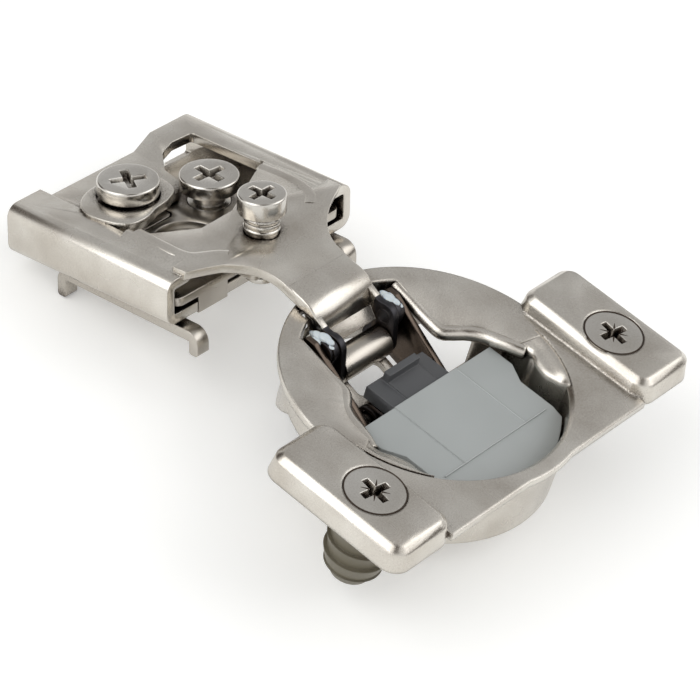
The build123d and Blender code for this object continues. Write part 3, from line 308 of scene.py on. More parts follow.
def plated_metal(name, tone, deep, roughness, relief, reach=2.2 * MM, edge=0.16 * MM):
    """Plated or bare steel: a tone that varies softly, with a grain that breaks up the reflections.

    Corners get a painted brown shade from as far as reach, and edges look rounded by edge, both in metres.
    """
    material, tree = new_material(name)
    if tree is None:
        return material
    # real plate has a finer grain than this: it is drawn coarse enough to show
    grain = settings().grain
    place = add_node(tree, "ShaderNodeTexCoord").outputs["Object"]
    cloud = add_node(
        tree, "ShaderNodeTexNoise", {"Vector": place, "Scale": 1 / PLATE_CLOUD, "Detail": 2.0}
    )
    fine = add_node(tree, "ShaderNodeTexNoise", {"Vector": place, "Scale": 1 / grain, "Detail": 3.0})
    speckle = add_node(
        tree, "ShaderNodeMix", {0: 0.35, 6: cloud.outputs["Color"], 7: fine.outputs["Color"]},
        data_type="RGBA",
    )
    spread = add_node(
        tree, "ShaderNodeMapRange",
        {"Value": speckle.outputs[2], "From Min": 0.35, "From Max": 0.65, "To Min": 0.0, "To Max": 1.0},
    )
    plate = add_node(
        tree, "ShaderNodeMix", {0: spread.outputs[0], 6: deep, 7: tone}, data_type="RGBA"
    )
    # painted shade: the colour turns brown in corners and tight bends, where the part would mirror and shade
    # itself, made ragged by the fine grain
    painted_corner_shade = add_node(tree, "ShaderNodeAmbientOcclusion", {"Distance": reach}, samples=8)
    ragged = add_node(
        tree, "ShaderNodeMath", {0: painted_corner_shade.outputs["AO"], 1: fine.outputs["Fac"]}, operation="ADD"
    )
    shaded = add_node(
        tree, "ShaderNodeMapRange", {"Value": ragged.outputs[0], "From Min": 0.8, "From Max": 1.42},
        interpolation_type="SMOOTHSTEP",
    )
    tint = add_node(
        tree, "ShaderNodeMix", {0: shaded.outputs[0], 6: settings().shade, 7: plate.outputs[2]},
        data_type="RGBA",
    )
    gloss = add_node(
        tree, "ShaderNodeMapRange",
        {"Value": cloud.outputs["Fac"], "From Min": 0.3, "From Max": 0.7,
         "To Min": roughness - 0.04, "To Max": roughness + 0.05},
    )
    rounded = add_node(tree, "ShaderNodeBevel", {"Radius": edge}, samples=6)
    bump = add_node(
        tree, "ShaderNodeBump",
        {"Height": fine.outputs["Fac"], "Strength": relief, "Distance": grain * 0.12,
         "Normal": rounded.outputs["Normal"]},
    )
    shader = add_node(
        tree, "ShaderNodeBsdfPrincipled",
        {"Base Color": tint.outputs[2], "Metallic": 1.0, "Roughness": gloss.outputs[0],
         "Normal": bump.outputs["Normal"]},
    )
    add_node(tree, "ShaderNodeOutputMaterial", {"Surface": shader.outputs[0]})
    return material


def moulded_plastic(name, tone, roughness, grain, relief):
    """Moulded plastic: an even tone, with the faint texture that a spark-eroded mould leaves.

    The texture is drawn coarser than a real mould's, so that it shows.
    """
    material, tree = new_material(name)
    if tree is None:
        return material
    place = add_node(tree, "ShaderNodeTexCoord").outputs["Object"]
    fine = add_node(tree, "ShaderNodeTexNoise", {"Vector": place, "Scale": 1 / grain, "Detail": 2.0})
    cloud = add_node(
        tree, "ShaderNodeTexNoise", {"Vector": place, "Scale": 1 / PLASTIC_CLOUD, "Detail": 1.0}
    )
    shade = add_node(
        tree, "ShaderNodeMapRange", {"Value": cloud.outputs["Fac"], "To Min": 0.94, "To Max": 1.06}
    )
    tint = add_node(
        tree, "ShaderNodeVectorMath", {0: tone[:3], "Scale": shade.outputs[0]}, operation="SCALE"
    )
    gloss = add_node(
        tree, "ShaderNodeMapRange",
        {"Value": fine.outputs["Fac"], "To Min": roughness - 0.05, "To Max": roughness + 0.05},
    )
    rounded = add_node(tree, "ShaderNodeBevel", {"Radius": 0.2 * MM}, samples=6)
    bump = add_node(
        tree, "ShaderNodeBump",
        {"Height": fine.outputs["Fac"], "Strength": relief, "Distance": grain * 0.2,
         "Normal": rounded.outputs["Normal"]},
    )
    shader = add_node(
        tree, "ShaderNodeBsdfPrincipled",
        {"Base Color": tint.outputs[0], "Roughness": gloss.outputs[0], "Normal": bump.outputs["Normal"]},
    )
    add_node(tree, "ShaderNodeOutputMaterial", {"Surface": shader.outputs[0]})
    return material


def satin_nickel():
    """Satin nickel plate on folded sheet: a warm white metal with soft but readable reflections."""
    own = settings()
    return plated_metal("satin_nickel_plate", own.nickel, own.nickel_deep, 0.25, 0.4)


def drawn_nickel():
    """The same plate on the deep-drawn cup, whose edges are all softly rounded."""
    own = settings()
    return plated_metal("drawn_nickel_plate", own.nickel, own.nickel_deep, 0.25, 0.4, edge=own.edge)


def inner_nickel():
    """Thinner plate on the stamped inner plates: a step greyer and duller than the outside."""
    own = settings()
    return plated_metal("inner_plate_nickel", own.plate, own.nickel_deep, 0.27, 0.4)


def screw_nickel():
    """Bright nickel on cold-formed screws: the clearest reflections, with painted dark shade in the
    recesses.
    """
    own = settings()
    return plated_metal("bright_screw_nickel", own.bright, own.plate, 0.19, 0.25, reach=1.15 * MM)


def pin_steel():
    """Polished bare steel of rivets and pins: greyer than the plate, with a small sharp highlight."""
    own = settings()
    return plated_metal("polished_pin_steel", own.pin, own.plate, 0.22, 0.2)


def shadow_line():
    """Near-black steel as painted shade: a fine line that reads as a deep, unlit cut."""
    own = settings()
    return plated_metal("painted_shade_line", own.shade, own.shade, 0.5, 0.2)


def burnished_steel_and_shade():
    """Burnished steel of the links: almost black, with a broad dull sheen; on the nickel arm's ears it is
    painted shade.
    """
    own = settings()
    return plated_metal("burnished_steel_and_ear_shade", own.burnished, own.burnished, 0.38, 0.3)


def dark_steel():
    """Unplated spring steel: dark brown, with a lighter line along its edges."""
    own = settings()
    return plated_metal("brown_spring_steel", own.cheek, own.shade, 0.3, 0.4)


def grey_acetal():
    """Moulded acetal of the damper's housing: pale, cool grey and evenly dull."""
    own = settings()
    return moulded_plastic("moulded_grey_acetal", own.housing, 0.5, own.mould_grain, 0.15)


def fold_highlight_acetal():
    """The same acetal, paler and smoother: a painted highlight where a sharp fold catches the light."""
    own = settings()
    return moulded_plastic("painted_fold_highlight", own.housing_fold_highlight, 0.4, own.mould_grain, 0.1)


def dark_acetal():
    """Moulded acetal of the slider: dark grey, with the soft shine of a part that slides."""
    own = settings()
    return moulded_plastic("moulded_dark_acetal", own.slider, 0.42, own.mould_grain, 0.15)


def olive_nylon():
    """Moulded nylon of the dowels: olive grey and slightly waxy, with a coarser texture."""
    own = settings()
    return moulded_plastic("moulded_olive_nylon", own.dowel, 0.45, 1.25 * own.mould_grain, 0.2)


def soft_grease():
    """Pale blue grease: wet, and a little clouded."""
    material, tree = new_material("pale_blue_grease")
    if tree:
        shader = add_node(
            tree, "ShaderNodeBsdfPrincipled",
            {"Base Color": settings().grease, "Roughness": 0.22, "Subsurface Weight": 0.3,
             "Subsurface Radius": (0.5 * MM, 0.6 * MM, 0.8 * MM)},
        )
        add_node(tree, "ShaderNodeOutputMaterial", {"Surface": shader.outputs[0]})
    return material


def body_copy(node):
    """A welded copy of a CAD node's mesh, in metres, with flat faces joined up."""
    mesh = frame["nodes"][node].data.copy()
    work = bmesh.new()
    work.from_mesh(mesh)
    bmesh.ops.remove_doubles(work, verts=work.verts, dist=2e-6)
    bmesh.ops.dissolve_degenerate(work, edges=work.edges, dist=1e-6)
    bmesh.ops.dissolve_limit(
        work, angle_limit=radians(1.0), verts=work.verts, edges=work.edges, delimit={"NORMAL"}
    )
    work.to_mesh(mesh)
    work.free()
    mesh.materials.clear()
    return mesh


def smooth_by_angle(mesh, smooth_limit=SMOOTH_LIMIT):
    """Shade smooth, with an edge kept sharp where the faces turn more than the limit."""
    work = bmesh.new()
    work.from_mesh(mesh)
    for face in work.faces:
        face.smooth = True
    for edge in work.edges:
        edge.smooth = len(edge.link_faces) == 2 and edge.calc_face_angle(0) < radians(smooth_limit)
    work.to_mesh(mesh)
    work.free()


def add_piece(name, mesh, material, node):
    """A piece that is added to the look of a node, and rides with its body."""
    mesh.materials.clear()
    mesh.materials.append(material)
    piece = bpy.data.objects.new(name, mesh)
    bpy.context.collection.objects.link(piece)
    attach(piece, BODY_OF[node])
    return piece


def finish_piece(name, mesh, material, node):
    """A piece that rides with a node's body and stands for the node."""
    piece = add_piece(name, mesh, material, node)
    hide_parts(node)
    return piece


def evaluated_mesh(piece):
    """The plain mesh that an object's modifiers make."""
    return bpy.data.meshes.new_from_object(piece.evaluated_get(bpy.context.evaluated_depsgraph_get()))


def dress(node, material, softened=0.0, segments=2, cut_at=None):
    """A finished copy of a CAD node: welded, softened along its edges and shaded smooth.

    Where cut_at is given, its faces are split at that place along X, so that a second material, such as
    painted shade, ends there.
    """
    mesh = body_copy(node)
    if softened:
        blank = bpy.data.objects.new(node + "_blank", mesh)
        bpy.context.collection.objects.link(blank)
        bevel = blank.modifiers.new("soften", "BEVEL")
        bevel.width = softened * MM
        bevel.segments = segments
        bevel.limit_method = "ANGLE"
        bevel.angle_limit = radians(40)
        bevel.use_clamp_overlap = True
        mesh = evaluated_mesh(blank)
        bpy.data.objects.remove(blank)
    if cut_at is not None:
        work = bmesh.new()
        work.from_mesh(mesh)
        bmesh.ops.bisect_plane(
            work, geom=[*work.verts, *work.edges, *work.faces], plane_co=(cut_at * MM, 0, 0),
            plane_no=(1, 0, 0),
        )
        work.to_mesh(mesh)
        work.free()
    smooth_by_angle(mesh)
    return finish_piece(node + "_finish", mesh, material, node)


def mesh_of(name, build, smooth_limit=SMOOTH_LIMIT, place=None):
    """A mesh in metres from a function that fills a bmesh in millimetres, moved to its place."""
    mesh = bpy.data.meshes.new(name)
    work = bmesh.new()
    build(work)
    bmesh.ops.scale(work, vec=(MM, MM, MM), verts=work.verts)
    bmesh.ops.recalc_face_normals(work, faces=work.faces)
    work.to_mesh(mesh)
    work.free()
    if place:
        mesh.transform(place)
    smooth_by_angle(mesh, smooth_limit)
    return mesh


def sweep_rings(work, rings, closed=False):
    """Join rings of points, each as long as the next, into a tube with capped or joined ends."""
    loops = [[work.verts.new(point) for point in ring] for ring in rings]
    pairs = list(zip(loops, loops[1:]))
    if closed:
        pairs.append((loops[-1], loops[0]))
    count = len(loops[0])
    for one, other in pairs:
        for i in range(count):
            work.faces.new((one[i], one[(i + 1) % count], other[(i + 1) % count], other[i]))
    if not closed:
        work.faces.new(loops[0])
        work.faces.new(list(reversed(loops[-1])))


def tube(work, points, radius, sides=8, closed=False, squash=1.0):
    """A round bar along points in millimetres, its height scaled by squash."""
    spots = [Vector(point) for point in points]
    rings = []
    for i, spot in enumerate(spots):
        before = spots[i - 1] if i or closed else spot
        after = spots[(i + 1) % len(spots)] if i + 1 < len(spots) or closed else spot
        along = (after - before).normalized()
        side = along.cross(Vector((0, 0, 1))).normalized()
        up = side.cross(along)
        rings.append([
            spot + side * radius * cos(tau * k / sides) + up * radius * squash * sin(tau * k / sides)
            for k in range(sides)
        ])
    sweep_rings(work, rings, closed)


def circle(x, y, radius, height, steps):
    """Points on a level circle."""
    turns = [tau * step / steps for step in range(steps)]
    return [(x + radius * cos(turn), y + radius * sin(turn), height) for turn in turns]


def smooth_route(points, steps=8):
    """A Catmull-Rom curve through the points."""
    spots = [Vector(point) for point in points]
    ends = [spots[0] * 2 - spots[1], *spots, spots[-1] * 2 - spots[-2]]
    route = []
    for a, b, c, d in zip(ends, ends[1:], ends[2:], ends[3:]):
        for i in range(steps):
            t = i / steps
            route.append(0.5 * ((2 * b) + (c - a) * t + (2 * a - 5 * b + 4 * c - d) * t * t
                                + (3 * b - a - 3 * c + d) * t ** 3))
    route.append(spots[-1])
    return route


def helix_tree():
    """Node group: a six-sided ridge wound round an axis as a thread, with named inputs."""
    tree = bpy.data.node_groups.get("wound_thread")
    if tree:
        return tree
    tree = bpy.data.node_groups.new("wound_thread", "GeometryNodeTree")
    face = tree.interface
    face.new_socket("Geometry", in_out="INPUT", socket_type="NodeSocketGeometry")
    for name in ("Pitch", "Radius", "Depth", "Turns"):
        face.new_socket(name, in_out="INPUT", socket_type="NodeSocketFloat")
    face.new_socket("Steps", in_out="INPUT", socket_type="NodeSocketInt")
    face.new_socket("Material", in_out="INPUT", socket_type="NodeSocketMaterial")
    face.new_socket("Geometry", in_out="OUTPUT", socket_type="NodeSocketGeometry")
    source = add_node(tree, "NodeGroupInput").outputs
    rise = add_node(tree, "ShaderNodeMath", {0: source["Pitch"], 1: source["Turns"]}, operation="MULTIPLY")
    spiral = add_node(
        tree, "GeometryNodeCurveSpiral",
        {"Resolution": source["Steps"], "Rotations": source["Turns"], "Start Radius": source["Radius"],
         "End Radius": source["Radius"], "Height": rise.outputs[0]},
    )
    profile = add_node(
        tree, "GeometryNodeCurvePrimitiveCircle", {"Resolution": 6, "Radius": source["Depth"]},
        mode="RADIUS",
    )
    solid = add_node(
        tree, "GeometryNodeCurveToMesh",
        {"Curve": spiral.outputs[0], "Profile Curve": profile.outputs[0], "Fill Caps": True},
    )
    real = add_node(tree, "GeometryNodeRealizeInstances", {0: solid.outputs[0]})
    painted = add_node(
        tree, "GeometryNodeSetMaterial", {"Geometry": real.outputs[0], "Material": source["Material"]}
    )
    add_node(tree, "NodeGroupOutput", {0: painted.outputs[0]})
    return tree


def wound_thread(name, node, material, place, radius, pitch, depth, turns, steps):
    """A thread wound upwards from a place; lengths in metres, place a matrix."""
    tree = helix_tree()
    blank = bpy.data.objects.new(name + "_blank", bpy.data.meshes.new(name))
    bpy.context.collection.objects.link(blank)
    modifier = blank.modifiers.new("thread", "NODES")
    modifier.node_group = tree
    values = {
        "Pitch": pitch, "Radius": radius, "Depth": depth, "Turns": turns, "Steps": steps,
        "Material": material,
    }
    for socket in tree.interface.items_tree:
        if socket.in_out == "INPUT" and socket.name in values:
            modifier[socket.identifier] = values[socket.name]
    blank.update_tag()
    mesh = evaluated_mesh(blank)
    blank.modifiers.remove(modifier)
    bpy.data.objects.remove(blank)
    mesh.transform(place)
    work = bmesh.new()
    work.from_mesh(mesh)
    bmesh.ops.remove_doubles(work, verts=work.verts, dist=1e-7)
    bmesh.ops.recalc_face_normals(work, faces=work.faces)
    work.to_mesh(mesh)
    work.free()
    smooth_by_angle(mesh, smooth_limit=50)
    return add_piece(name, mesh, material, node)


def smooth_polar(pairs, count, closed=False):
    """Angle and radius pairs, interpolated softly to count points."""
    points = [(angle, radius, 0) for angle, radius in pairs]
    if closed:
        points.append((points[0][0] + 360, points[0][1], 0))
    route = smooth_route(points, steps=max(2, count // (len(points) - 1)))
    return [(spot.x, spot.y) for spot in (route[:-1] if closed else route)]


def in_head(along, across, above):
    """The matrix of a place in the head's frame, given in millimetres."""
    return HEAD_FRAME @ Matrix.Translation((along * MM, across * MM, above * MM))


def on_an_ear(place):
    """Whether a point of the arm, in millimetres, is on one of its two ears."""
    return place.x < EAR_END and abs(place.y) > EAR_INNER


# ---------------------------------------------------------------- pieces
class HINGE_OT_sheet_steel(Operator):
    """Finish the cup, the arm and the plates of the head in satin nickel"""
    bl_idname = "hinge.sheet_steel"
    bl_label = "Sheet Steel Parts"

    def execute(self, context):
        dress("cup", drawn_nickel(), softened=CUP_EDGE, segments=3)
        arm = dress("arm", satin_nickel(), softened=SHEET_EDGE, cut_at=EAR_END)
        # painted shade: the ears of the nickel arm are drawn in the links' dark steel
        arm.data.materials.append(burnished_steel_and_shade())
        for face in arm.data.polygons:
            face.material_index = int(on_an_ear(face.center / MM))
        for node in ("carrier_plate", "depth_shoe", "base_plate", "inner_link"):
            dress(node, inner_nickel(), softened=SHEET_EDGE)
        dress("pivot_bracket", dark_steel(), softened=SHEET_EDGE)
        for node in ("outer_link_left", "outer_link_right"):
            dress(node, burnished_steel_and_shade(), softened=SHEET_EDGE)
        for side, name in SIDES:
            for shape, build in (("mouth_lip", self.lip), ("mouth_flank", self.flank)):
                mesh = mesh_of(shape, partial(build, side=side), smooth_limit=50)
                add_piece(shape + "_" + name, mesh, drawn_nickel(), "cup")
        for name, build, smooth_limit, place in (
            ("arm_tip", self.tip, 50, None),
            ("cam_seat", self.seat, 40, HEAD_FRAME),
            ("head_ridge", self.ridge, 60, HEAD_FRAME),
        ):
            add_piece(name, mesh_of(name, build, smooth_limit, place), satin_nickel(), "arm")
        return {"FINISHED"}

    def tip(self, work):
        """The arm's rounded end, curved softly down to the knuckle."""
        route = smooth_route([(x, width, z) for x, z, width in TIP], steps=5)
        rings = []
        for i, spot in enumerate(route):
            along = route[min(i + 1, len(route) - 1)] - route[max(i - 1, 0)]
            out = Vector((along.z, 0, -along.x)).normalized()
            outer, width = Vector((spot.x, 0, spot.z)), spot.y
            share = min(1, max(0, (spot.x - TIP_TURN[0]) / (TIP_TURN[1] - TIP_TURN[0])))
            sheet = TIP_SHEET[0] + (TIP_SHEET[1] - TIP_SHEET[0]) * share
            section = [
                (-width, -sheet), (-width, -TIP_EDGE), (-width + TIP_CORNER, -TIP_CORNER),
                (-width + TIP_EDGE, 0),
            ]
            section += [(-y, depth) for y, depth in reversed(section)]
            rings.append([outer + out * depth + Vector((0, y, 0)) for y, depth in section])
        sweep_rings(work, rings)

    def lip(self, work, side):
        """The rolled edge of the collar."""
        points = [(x, side * y, top - LIP_R + LIP_PROUD) for x, y, top in LIP]
        tube(work, smooth_route(points), LIP_R, sides=16)

    def flank(self, work, side):
        """The drawn surface that falls softly from the ring to the damper."""
        rings = []
        for angle, inner in smooth_polar(FLANK, 42):
            turn = radians(angle)
            width = FLANK_OUTER - inner
            sunk = FLANK_SUNK * max(0, (FLANK_RISEN - angle) / (FLANK_RISEN - FLANK[0][0]))
            section = [(FLANK_OUTER, FLANK_TOP)]
            section += [
                (FLANK_OUTER - width * share, FLANK_TOP - drop * min(1, width))
                for share, drop in FLANK_FALL
            ]
            section += [
                (inner + FLANK_LEAN[0], FLANK_EDGE), (inner + FLANK_LEAN[1], FLANK_FOOT),
                (FLANK_OUTER, FLANK_FOOT),
            ]
            rings.append([
                Vector((radius * cos(turn), side * radius * sin(turn), height - sunk))
                for radius, height in section
            ])
        sweep_rings(work, rings)

    def seat(self, work):
        """A flat plate with soft top edges, open round the cam's neck."""
        rings = []
        for angle, outer in smooth_polar(SEAT, 78, closed=True):
            turn = radians(angle)
            rings.append([
                Vector((SEAT_CENTRE[0] + radius * cos(turn), SEAT_CENTRE[1] + radius * sin(turn), height))
                for radius, height in (
                    (SEAT_HOLE, SEAT_TOP), (outer - SEAT_EDGE, SEAT_TOP),
                    (outer - SEAT_CORNER, SEAT_TOP - SEAT_CORNER), (outer, SEAT_TOP - SEAT_EDGE),
                    (outer, SEAT_FOOT), (SEAT_HOLE, SEAT_FOOT),
                )
            ])
        sweep_rings(work, rings, closed=True)

    def ridge(self, work):
        """A low rounded ridge along each side."""
        for points in RIDGE:
            route = smooth_route([(along, across, RIDGE_LEVEL) for along, across in points])
            tube(work, route, RIDGE_HALF, sides=16, squash=RIDGE_SQUASH)


class HINGE_OT_pins(Operator):
    """Finish the rivets and pins of the linkage"""
    bl_idname = "hinge.pins"
    bl_label = "Rivets and Pins"

    def execute(self, context):
        for node in ("outer_pivot_rivets", "inner_pivot_pin", "knuckle_pin"):
            dress(node, pin_steel())
        dress("arm_rivets", burnished_steel_and_shade())
        for side, name in SIDES:
            mesh = mesh_of("grease", partial(self.smear, side=side), smooth_limit=180)
            add_piece("grease_" + name, mesh, soft_grease(), "arm_rivets")
        return {"FINISHED"}

    def smear(self, work, side):
        """Small uneven drops of grease."""
        for (x, y, z), size in GREASE:
            place = Matrix.Translation((x, side * y, z)) @ Matrix.Diagonal((*GREASE_SHAPE, 1))
            bmesh.ops.create_icosphere(work, subdivisions=3, radius=size, matrix=place)


class HINGE_OT_screws(Operator):
    """Finish the flange screws, the two cams and the side screw"""
    bl_idname = "hinge.screws"
    bl_label = "Screws and Cams"

    def execute(self, context):
        dress("flange_screws", screw_nickel(), softened=FLANGE_SCREW_EDGE)
        for node in ("depth_cam", "height_cam", "side_screw"):
            dress(node, screw_nickel(), softened=CAM_EDGE)
        own = context.scene.hinge_thread
        along, across = SIDE_SCREW
        wound_thread(
            "side_screw_thread", "side_screw", screw_nickel(), in_head(along, across, THREAD_LOW),
            THREAD_R * MM, own.pitch, own.depth, (THREAD_HIGH - THREAD_LOW) * MM / own.pitch, own.steps,
        )
        for side, name in SIDES:
            for shape, build in (("screw_shade_ring", self.ring), ("screw_star", self.star)):
                mesh = mesh_of(shape, partial(build, across=side * SCREW_ACROSS))
                add_piece(shape + "_" + name, mesh, shadow_line(), "flange_screws")
        return {"FINISHED"}

    def ring(self, work, across):
        """Painted shade: a fine dark line where a screw's head meets its pad."""
        route = circle(SCREW_BACK, across, RING_R, PAD_TOP - RING_SUNK, RING_STEPS)
        tube(work, route, RING_LINE, closed=True)

    def star(self, work, across):
        """Four thin ticks between the arms of the cross, narrower towards their outer ends; their near-black
        is painted shade.
        """
        base = Vector((SCREW_BACK, across, PAD_TOP + STAR_PROUD))
        corners = (
            (STAR_INNER, -STAR_WIDE), (STAR_OUTER, -STAR_NARROW),
            (STAR_OUTER, STAR_NARROW), (STAR_INNER, STAR_WIDE),
        )
        for quarter in range(4):
            turn = radians(STAR_TURN + 90 * quarter)
            along = Vector((cos(turn), sin(turn), 0))
            beside = Vector((-sin(turn), cos(turn), 0))
            top = [base + along * out + beside * half for out, half in corners]
            sweep_rings(work, [top, [point - Vector((0, 0, STAR_DEPTH)) for point in top]])


class HINGE_OT_plastic(Operator):
    """Finish the damper housing, its slider and the dowels"""
    bl_idname = "hinge.plastic"
    bl_label = "Moulded Parts"

    def execute(self, context):
        dress("damper_housing", grey_acetal(), softened=HOUSING_EDGE, segments=3)
        lines = mesh_of("housing_lines", self.lines, smooth_limit=50)
        add_piece("housing_lines", lines, fold_highlight_acetal(), "damper_housing")
        dress("damper_slider", dark_acetal(), softened=SLIDER_EDGE)
        dowels = mesh_of("dowels", self.dowels, smooth_limit=38)
        finish_piece("dowels_finish", dowels, olive_nylon(), "dowels")
        return {"FINISHED"}

    def lines(self, work):
        """Fine raised lines where the housing's top folds and steps, which carry the painted highlight."""
        for route in HOUSING_LINES:
            tube(work, route, HOUSING_LINE_R)

    def dowels(self, work):
        """Both dowels turned smooth: their outlines are read from the plain solids."""
        spots = [vertex.co / MM for vertex in frame["nodes"]["dowels"].data.vertices]
        for side, _ in SIDES:
            middle = Vector((SCREW_BACK, side * SCREW_ACROSS, 0))
            near = [spot - middle for spot in spots if spot.y * side > 0]
            inside = [spot for spot in near if spot.xy.length < DOWEL_BORE[spot.z < DOWEL_STEP]]
            outside = [spot for spot in near if spot.xy.length >= DOWEL_BORE[spot.z < DOWEL_STEP]]
            section = self.profile(outside, widest_first=True)
            section += self.profile(inside, widest_first=False)[::-1]
            rings = []
            for step in range(DOWEL_SIDES):
                turn = tau * step / DOWEL_SIDES
                rings.append([
                    middle + Vector((radius * cos(turn), radius * sin(turn), height))
                    for height, radius in section
                ])
            sweep_rings(work, rings, closed=True)

    def profile(self, spots, widest_first):
        """Heights and radii of the outline that the points lie on, from the bottom up."""
        levels = {}
        for spot in spots:
            levels.setdefault(round(spot.z, 2), set()).add(round(spot.xy.length, 2))
        line = []
        for height in sorted(levels):
            ends = {min(levels[height]), max(levels[height])}
            line += [(height, radius) for radius in sorted(ends, reverse=widest_first)]
        return line


class HINGE_OT_damper(Operator):
    """Finish the damper's cylinder and rod and the closing springs"""
    bl_idname = "hinge.damper"
    bl_label = "Damper and Springs"

    def execute(self, context):
        for node in ("damper_cylinder", "piston_rod"):
            dress(node, pin_steel())
        dress("closing_springs", burnished_steel_and_shade())
        return {"FINISHED"}


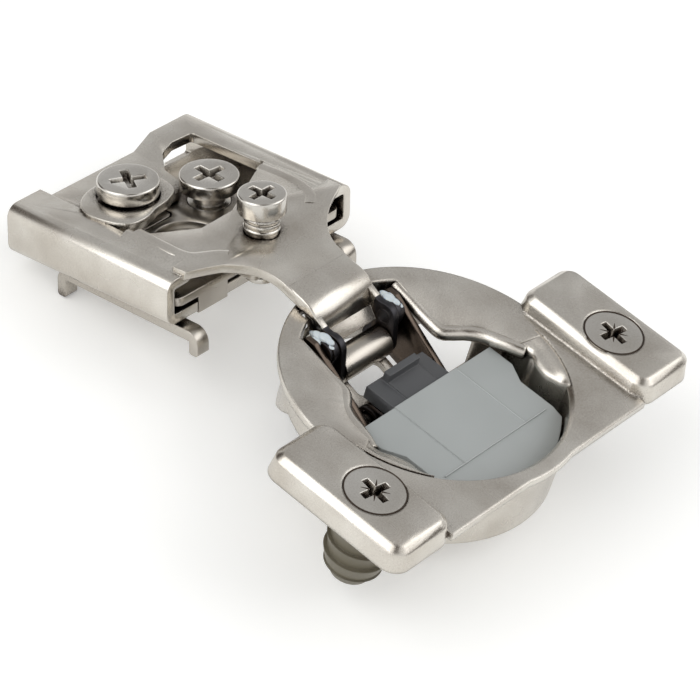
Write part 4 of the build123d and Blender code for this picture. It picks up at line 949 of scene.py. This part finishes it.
class HINGE_OT_stage(Operator):
    """Add the floor, the studio light and the camera"""
    bl_idname = "hinge.stage"
    bl_label = "Floor, Light and Camera"

    def execute(self, context):
        own = context.scene.hinge_stage
        low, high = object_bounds()
        centre = (low + high) / 2
        self.add_floor(own, low, centre)
        self.add_light(own, centre)
        self.add_world(context, own)
        self.add_camera(context, own)
        context.scene.view_settings.view_transform = "Standard"
        return {"FINISHED"}

    def add_floor(self, own, low, centre):
        """A wide flat sheet just below the hinge."""
        mesh = bpy.data.meshes.new("floor")
        corners = [
            (centre.x + x * FLOOR_REACH, centre.y + y * FLOOR_REACH, low.z - FLOOR_GAP)
            for x, y in ((-1, -1), (1, -1), (1, 1), (-1, 1))
        ]
        mesh.from_pydata(corners, [], [(0, 1, 2, 3)])
        mesh.materials.append(self.studio_paper(own))
        floor = bpy.data.objects.new("floor", mesh)
        bpy.context.collection.objects.link(floor)
        floor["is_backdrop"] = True

    def direct_view(self, tree):
        """The light path's outputs, and whether a surface is seen directly or through something clear."""
        path = add_node(tree, "ShaderNodeLightPath").outputs
        direct = add_node(
            tree, "ShaderNodeMath", {0: path["Is Camera Ray"], 1: path["Is Transmission Ray"]},
            operation="MAXIMUM",
        )
        return path, direct.outputs[0]

    def studio_paper(self, own):
        """Matt white studio paper: nearly white, with a soft grey shadow under the hinge."""
        material, tree = new_material("pale_studio_floor")
        path, direct = self.direct_view(tree)
        seen = add_node(tree, "ShaderNodeMath", {0: direct, 1: path["Is Glossy Ray"]}, operation="MAXIMUM")
        matt = add_node(tree, "ShaderNodeBsdfDiffuse", {"Color": own.floor})
        # lifts the pale floor to white where it is seen, and keeps the object's shadow
        lift = add_node(tree, "ShaderNodeMath", {0: seen.outputs[0], 1: own.lift}, operation="MULTIPLY")
        glow = add_node(tree, "ShaderNodeEmission", {"Color": WHITE, "Strength": lift.outputs[0]})
        both = add_node(tree, "ShaderNodeAddShader", {0: matt.outputs[0], 1: glow.outputs[0]})
        # far from the hinge the floor fades to the white of the room, so that it has no horizon
        place = add_node(tree, "ShaderNodeTexCoord").outputs["Object"]
        away = add_node(tree, "ShaderNodeVectorMath", {0: place}, operation="LENGTH")
        fade = add_node(
            tree, "ShaderNodeMapRange",
            {"Value": away.outputs["Value"], "From Min": FLOOR_FADE[0], "From Max": FLOOR_FADE[1]},
            interpolation_type="SMOOTHSTEP",
        )
        share = add_node(
            tree, "ShaderNodeMath", {0: fade.outputs[0], 1: seen.outputs[0]}, operation="MULTIPLY"
        )
        white = add_node(tree, "ShaderNodeEmission", {"Color": WHITE, "Strength": 1.0})
        paper = add_node(
            tree, "ShaderNodeMixShader", {0: share.outputs[0], 1: both.outputs[0], 2: white.outputs[0]}
        )
        add_node(tree, "ShaderNodeOutputMaterial", {"Surface": paper.outputs[0]})
        return material

    def add_light(self, own, centre):
        """Large softboxes, each facing the hinge."""
        for name, place, size, level in SOFTBOXES:
            lamp = bpy.data.lights.new(name, "AREA")
            lamp.size = size
            # a lamp's power is spread over its area, so this keeps its brightness at any size
            lamp.energy = getattr(own, level) * pi * size ** 2
            light = bpy.data.objects.new(name, lamp)
            bpy.context.collection.objects.link(light)
            light.location = centre + Vector(place)
            light.rotation_mode = "QUATERNION"
            light.rotation_quaternion = Vector(place).to_track_quat("Z", "Y")
            light.visible_camera = False

    def add_world(self, context, own):
        """A white room, in which metal mirrors a dim ceiling and dim walls."""
        world = bpy.data.worlds.new("studio")
        context.scene.world = world
        world.use_nodes = True
        tree = world.node_tree
        tree.nodes.clear()
        path, direct = self.direct_view(tree)
        looking = add_node(tree, "ShaderNodeTexCoord").outputs["Generated"]
        tone = WHITE
        for towards, inner, outer, dimmed in ROOM_PATCHES:
            near = add_node(
                tree, "ShaderNodeVectorMath", {0: looking, 1: Vector(towards).normalized()},
                operation="DOT_PRODUCT",
            )
            share = add_node(
                tree, "ShaderNodeMapRange",
                {"Value": near.outputs["Value"], "From Min": outer, "From Max": inner},
                interpolation_type="SMOOTHSTEP",
            )
            tone = add_node(
                tree, "ShaderNodeMix", {0: share.outputs[0], 6: tone, 7: getattr(own, dimmed)},
                data_type="RGBA",
            ).outputs[2]
        room = add_node(tree, "ShaderNodeBackground", {"Color": tone, "Strength": 1.0})
        light = add_node(tree, "ShaderNodeBackground", {"Color": WHITE, "Strength": own.room})
        white = add_node(tree, "ShaderNodeBackground", {"Color": WHITE, "Strength": 1.0})
        shiny = add_node(
            tree, "ShaderNodeMixShader", {0: path["Is Glossy Ray"], 1: light.outputs[0], 2: room.outputs[0]}
        )
        mix = add_node(tree, "ShaderNodeMixShader", {0: direct, 1: shiny.outputs[0], 2: white.outputs[0]})
        add_node(tree, "ShaderNodeOutputWorld", {"Surface": mix.outputs[0]})

    def add_camera(self, context, own):
        """A long lens from the head's end, looking down on the cup."""
        data = bpy.data.cameras.new("camera")
        data.lens = own.lens
        data.sensor_width = 36.0
        data.clip_start = 0.01
        data.clip_end = 20.0
        camera = bpy.data.objects.new("camera", data)
        bpy.context.collection.objects.link(camera)
        turn = Euler([radians(angle) for angle in CAMERA_TURN]).to_matrix().to_4x4()
        camera.matrix_world = Matrix.Translation(CAMERA_PLACE) @ turn
        context.scene.camera = camera


class HINGE_PT_panel(Panel):
    """The hinge's finishes and stage, one button each"""
    bl_label = "Cup Hinge"
    bl_idname = "HINGE_PT_panel"
    bl_space_type = "VIEW_3D"
    bl_region_type = "UI"
    bl_category = "Cup Hinge"

    def draw(self, context):
        for attribute in GROUPS:
            group = getattr(context.scene, attribute)
            for name in group.bl_rna.properties.keys():
                if name not in ("rna_type", "name"):
                    self.layout.prop(group, name)
        for operator in OPERATORS:
            self.layout.operator(operator.bl_idname)


GROUPS = {
    "hinge_finish": HingeFinishSettings,
    "hinge_thread": HingeThreadSettings,
    "hinge_stage": HingeStageSettings,
}
OPERATORS = (
    HINGE_OT_sheet_steel,
    HINGE_OT_pins,
    HINGE_OT_screws,
    HINGE_OT_plastic,
    HINGE_OT_damper,
    HINGE_OT_stage,
)


def register():
    for kind in (*GROUPS.values(), *OPERATORS, HINGE_PT_panel):
        bpy.utils.register_class(kind)
    for name, group in GROUPS.items():
        setattr(bpy.types.Scene, name, PointerProperty(type=group))


def unregister():
    for name in GROUPS:
        delattr(bpy.types.Scene, name)
    for kind in (HINGE_PT_panel, *reversed(OPERATORS), *GROUPS.values()):
        bpy.utils.unregister_class(kind)


def main():
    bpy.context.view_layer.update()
    register()
    bpy.ops.hinge.sheet_steel()
    bpy.ops.hinge.pins()
    bpy.ops.hinge.screws()
    bpy.ops.hinge.plastic()
    bpy.ops.hinge.damper()
    bpy.ops.hinge.stage()


if __name__ == "__main__":
    main()
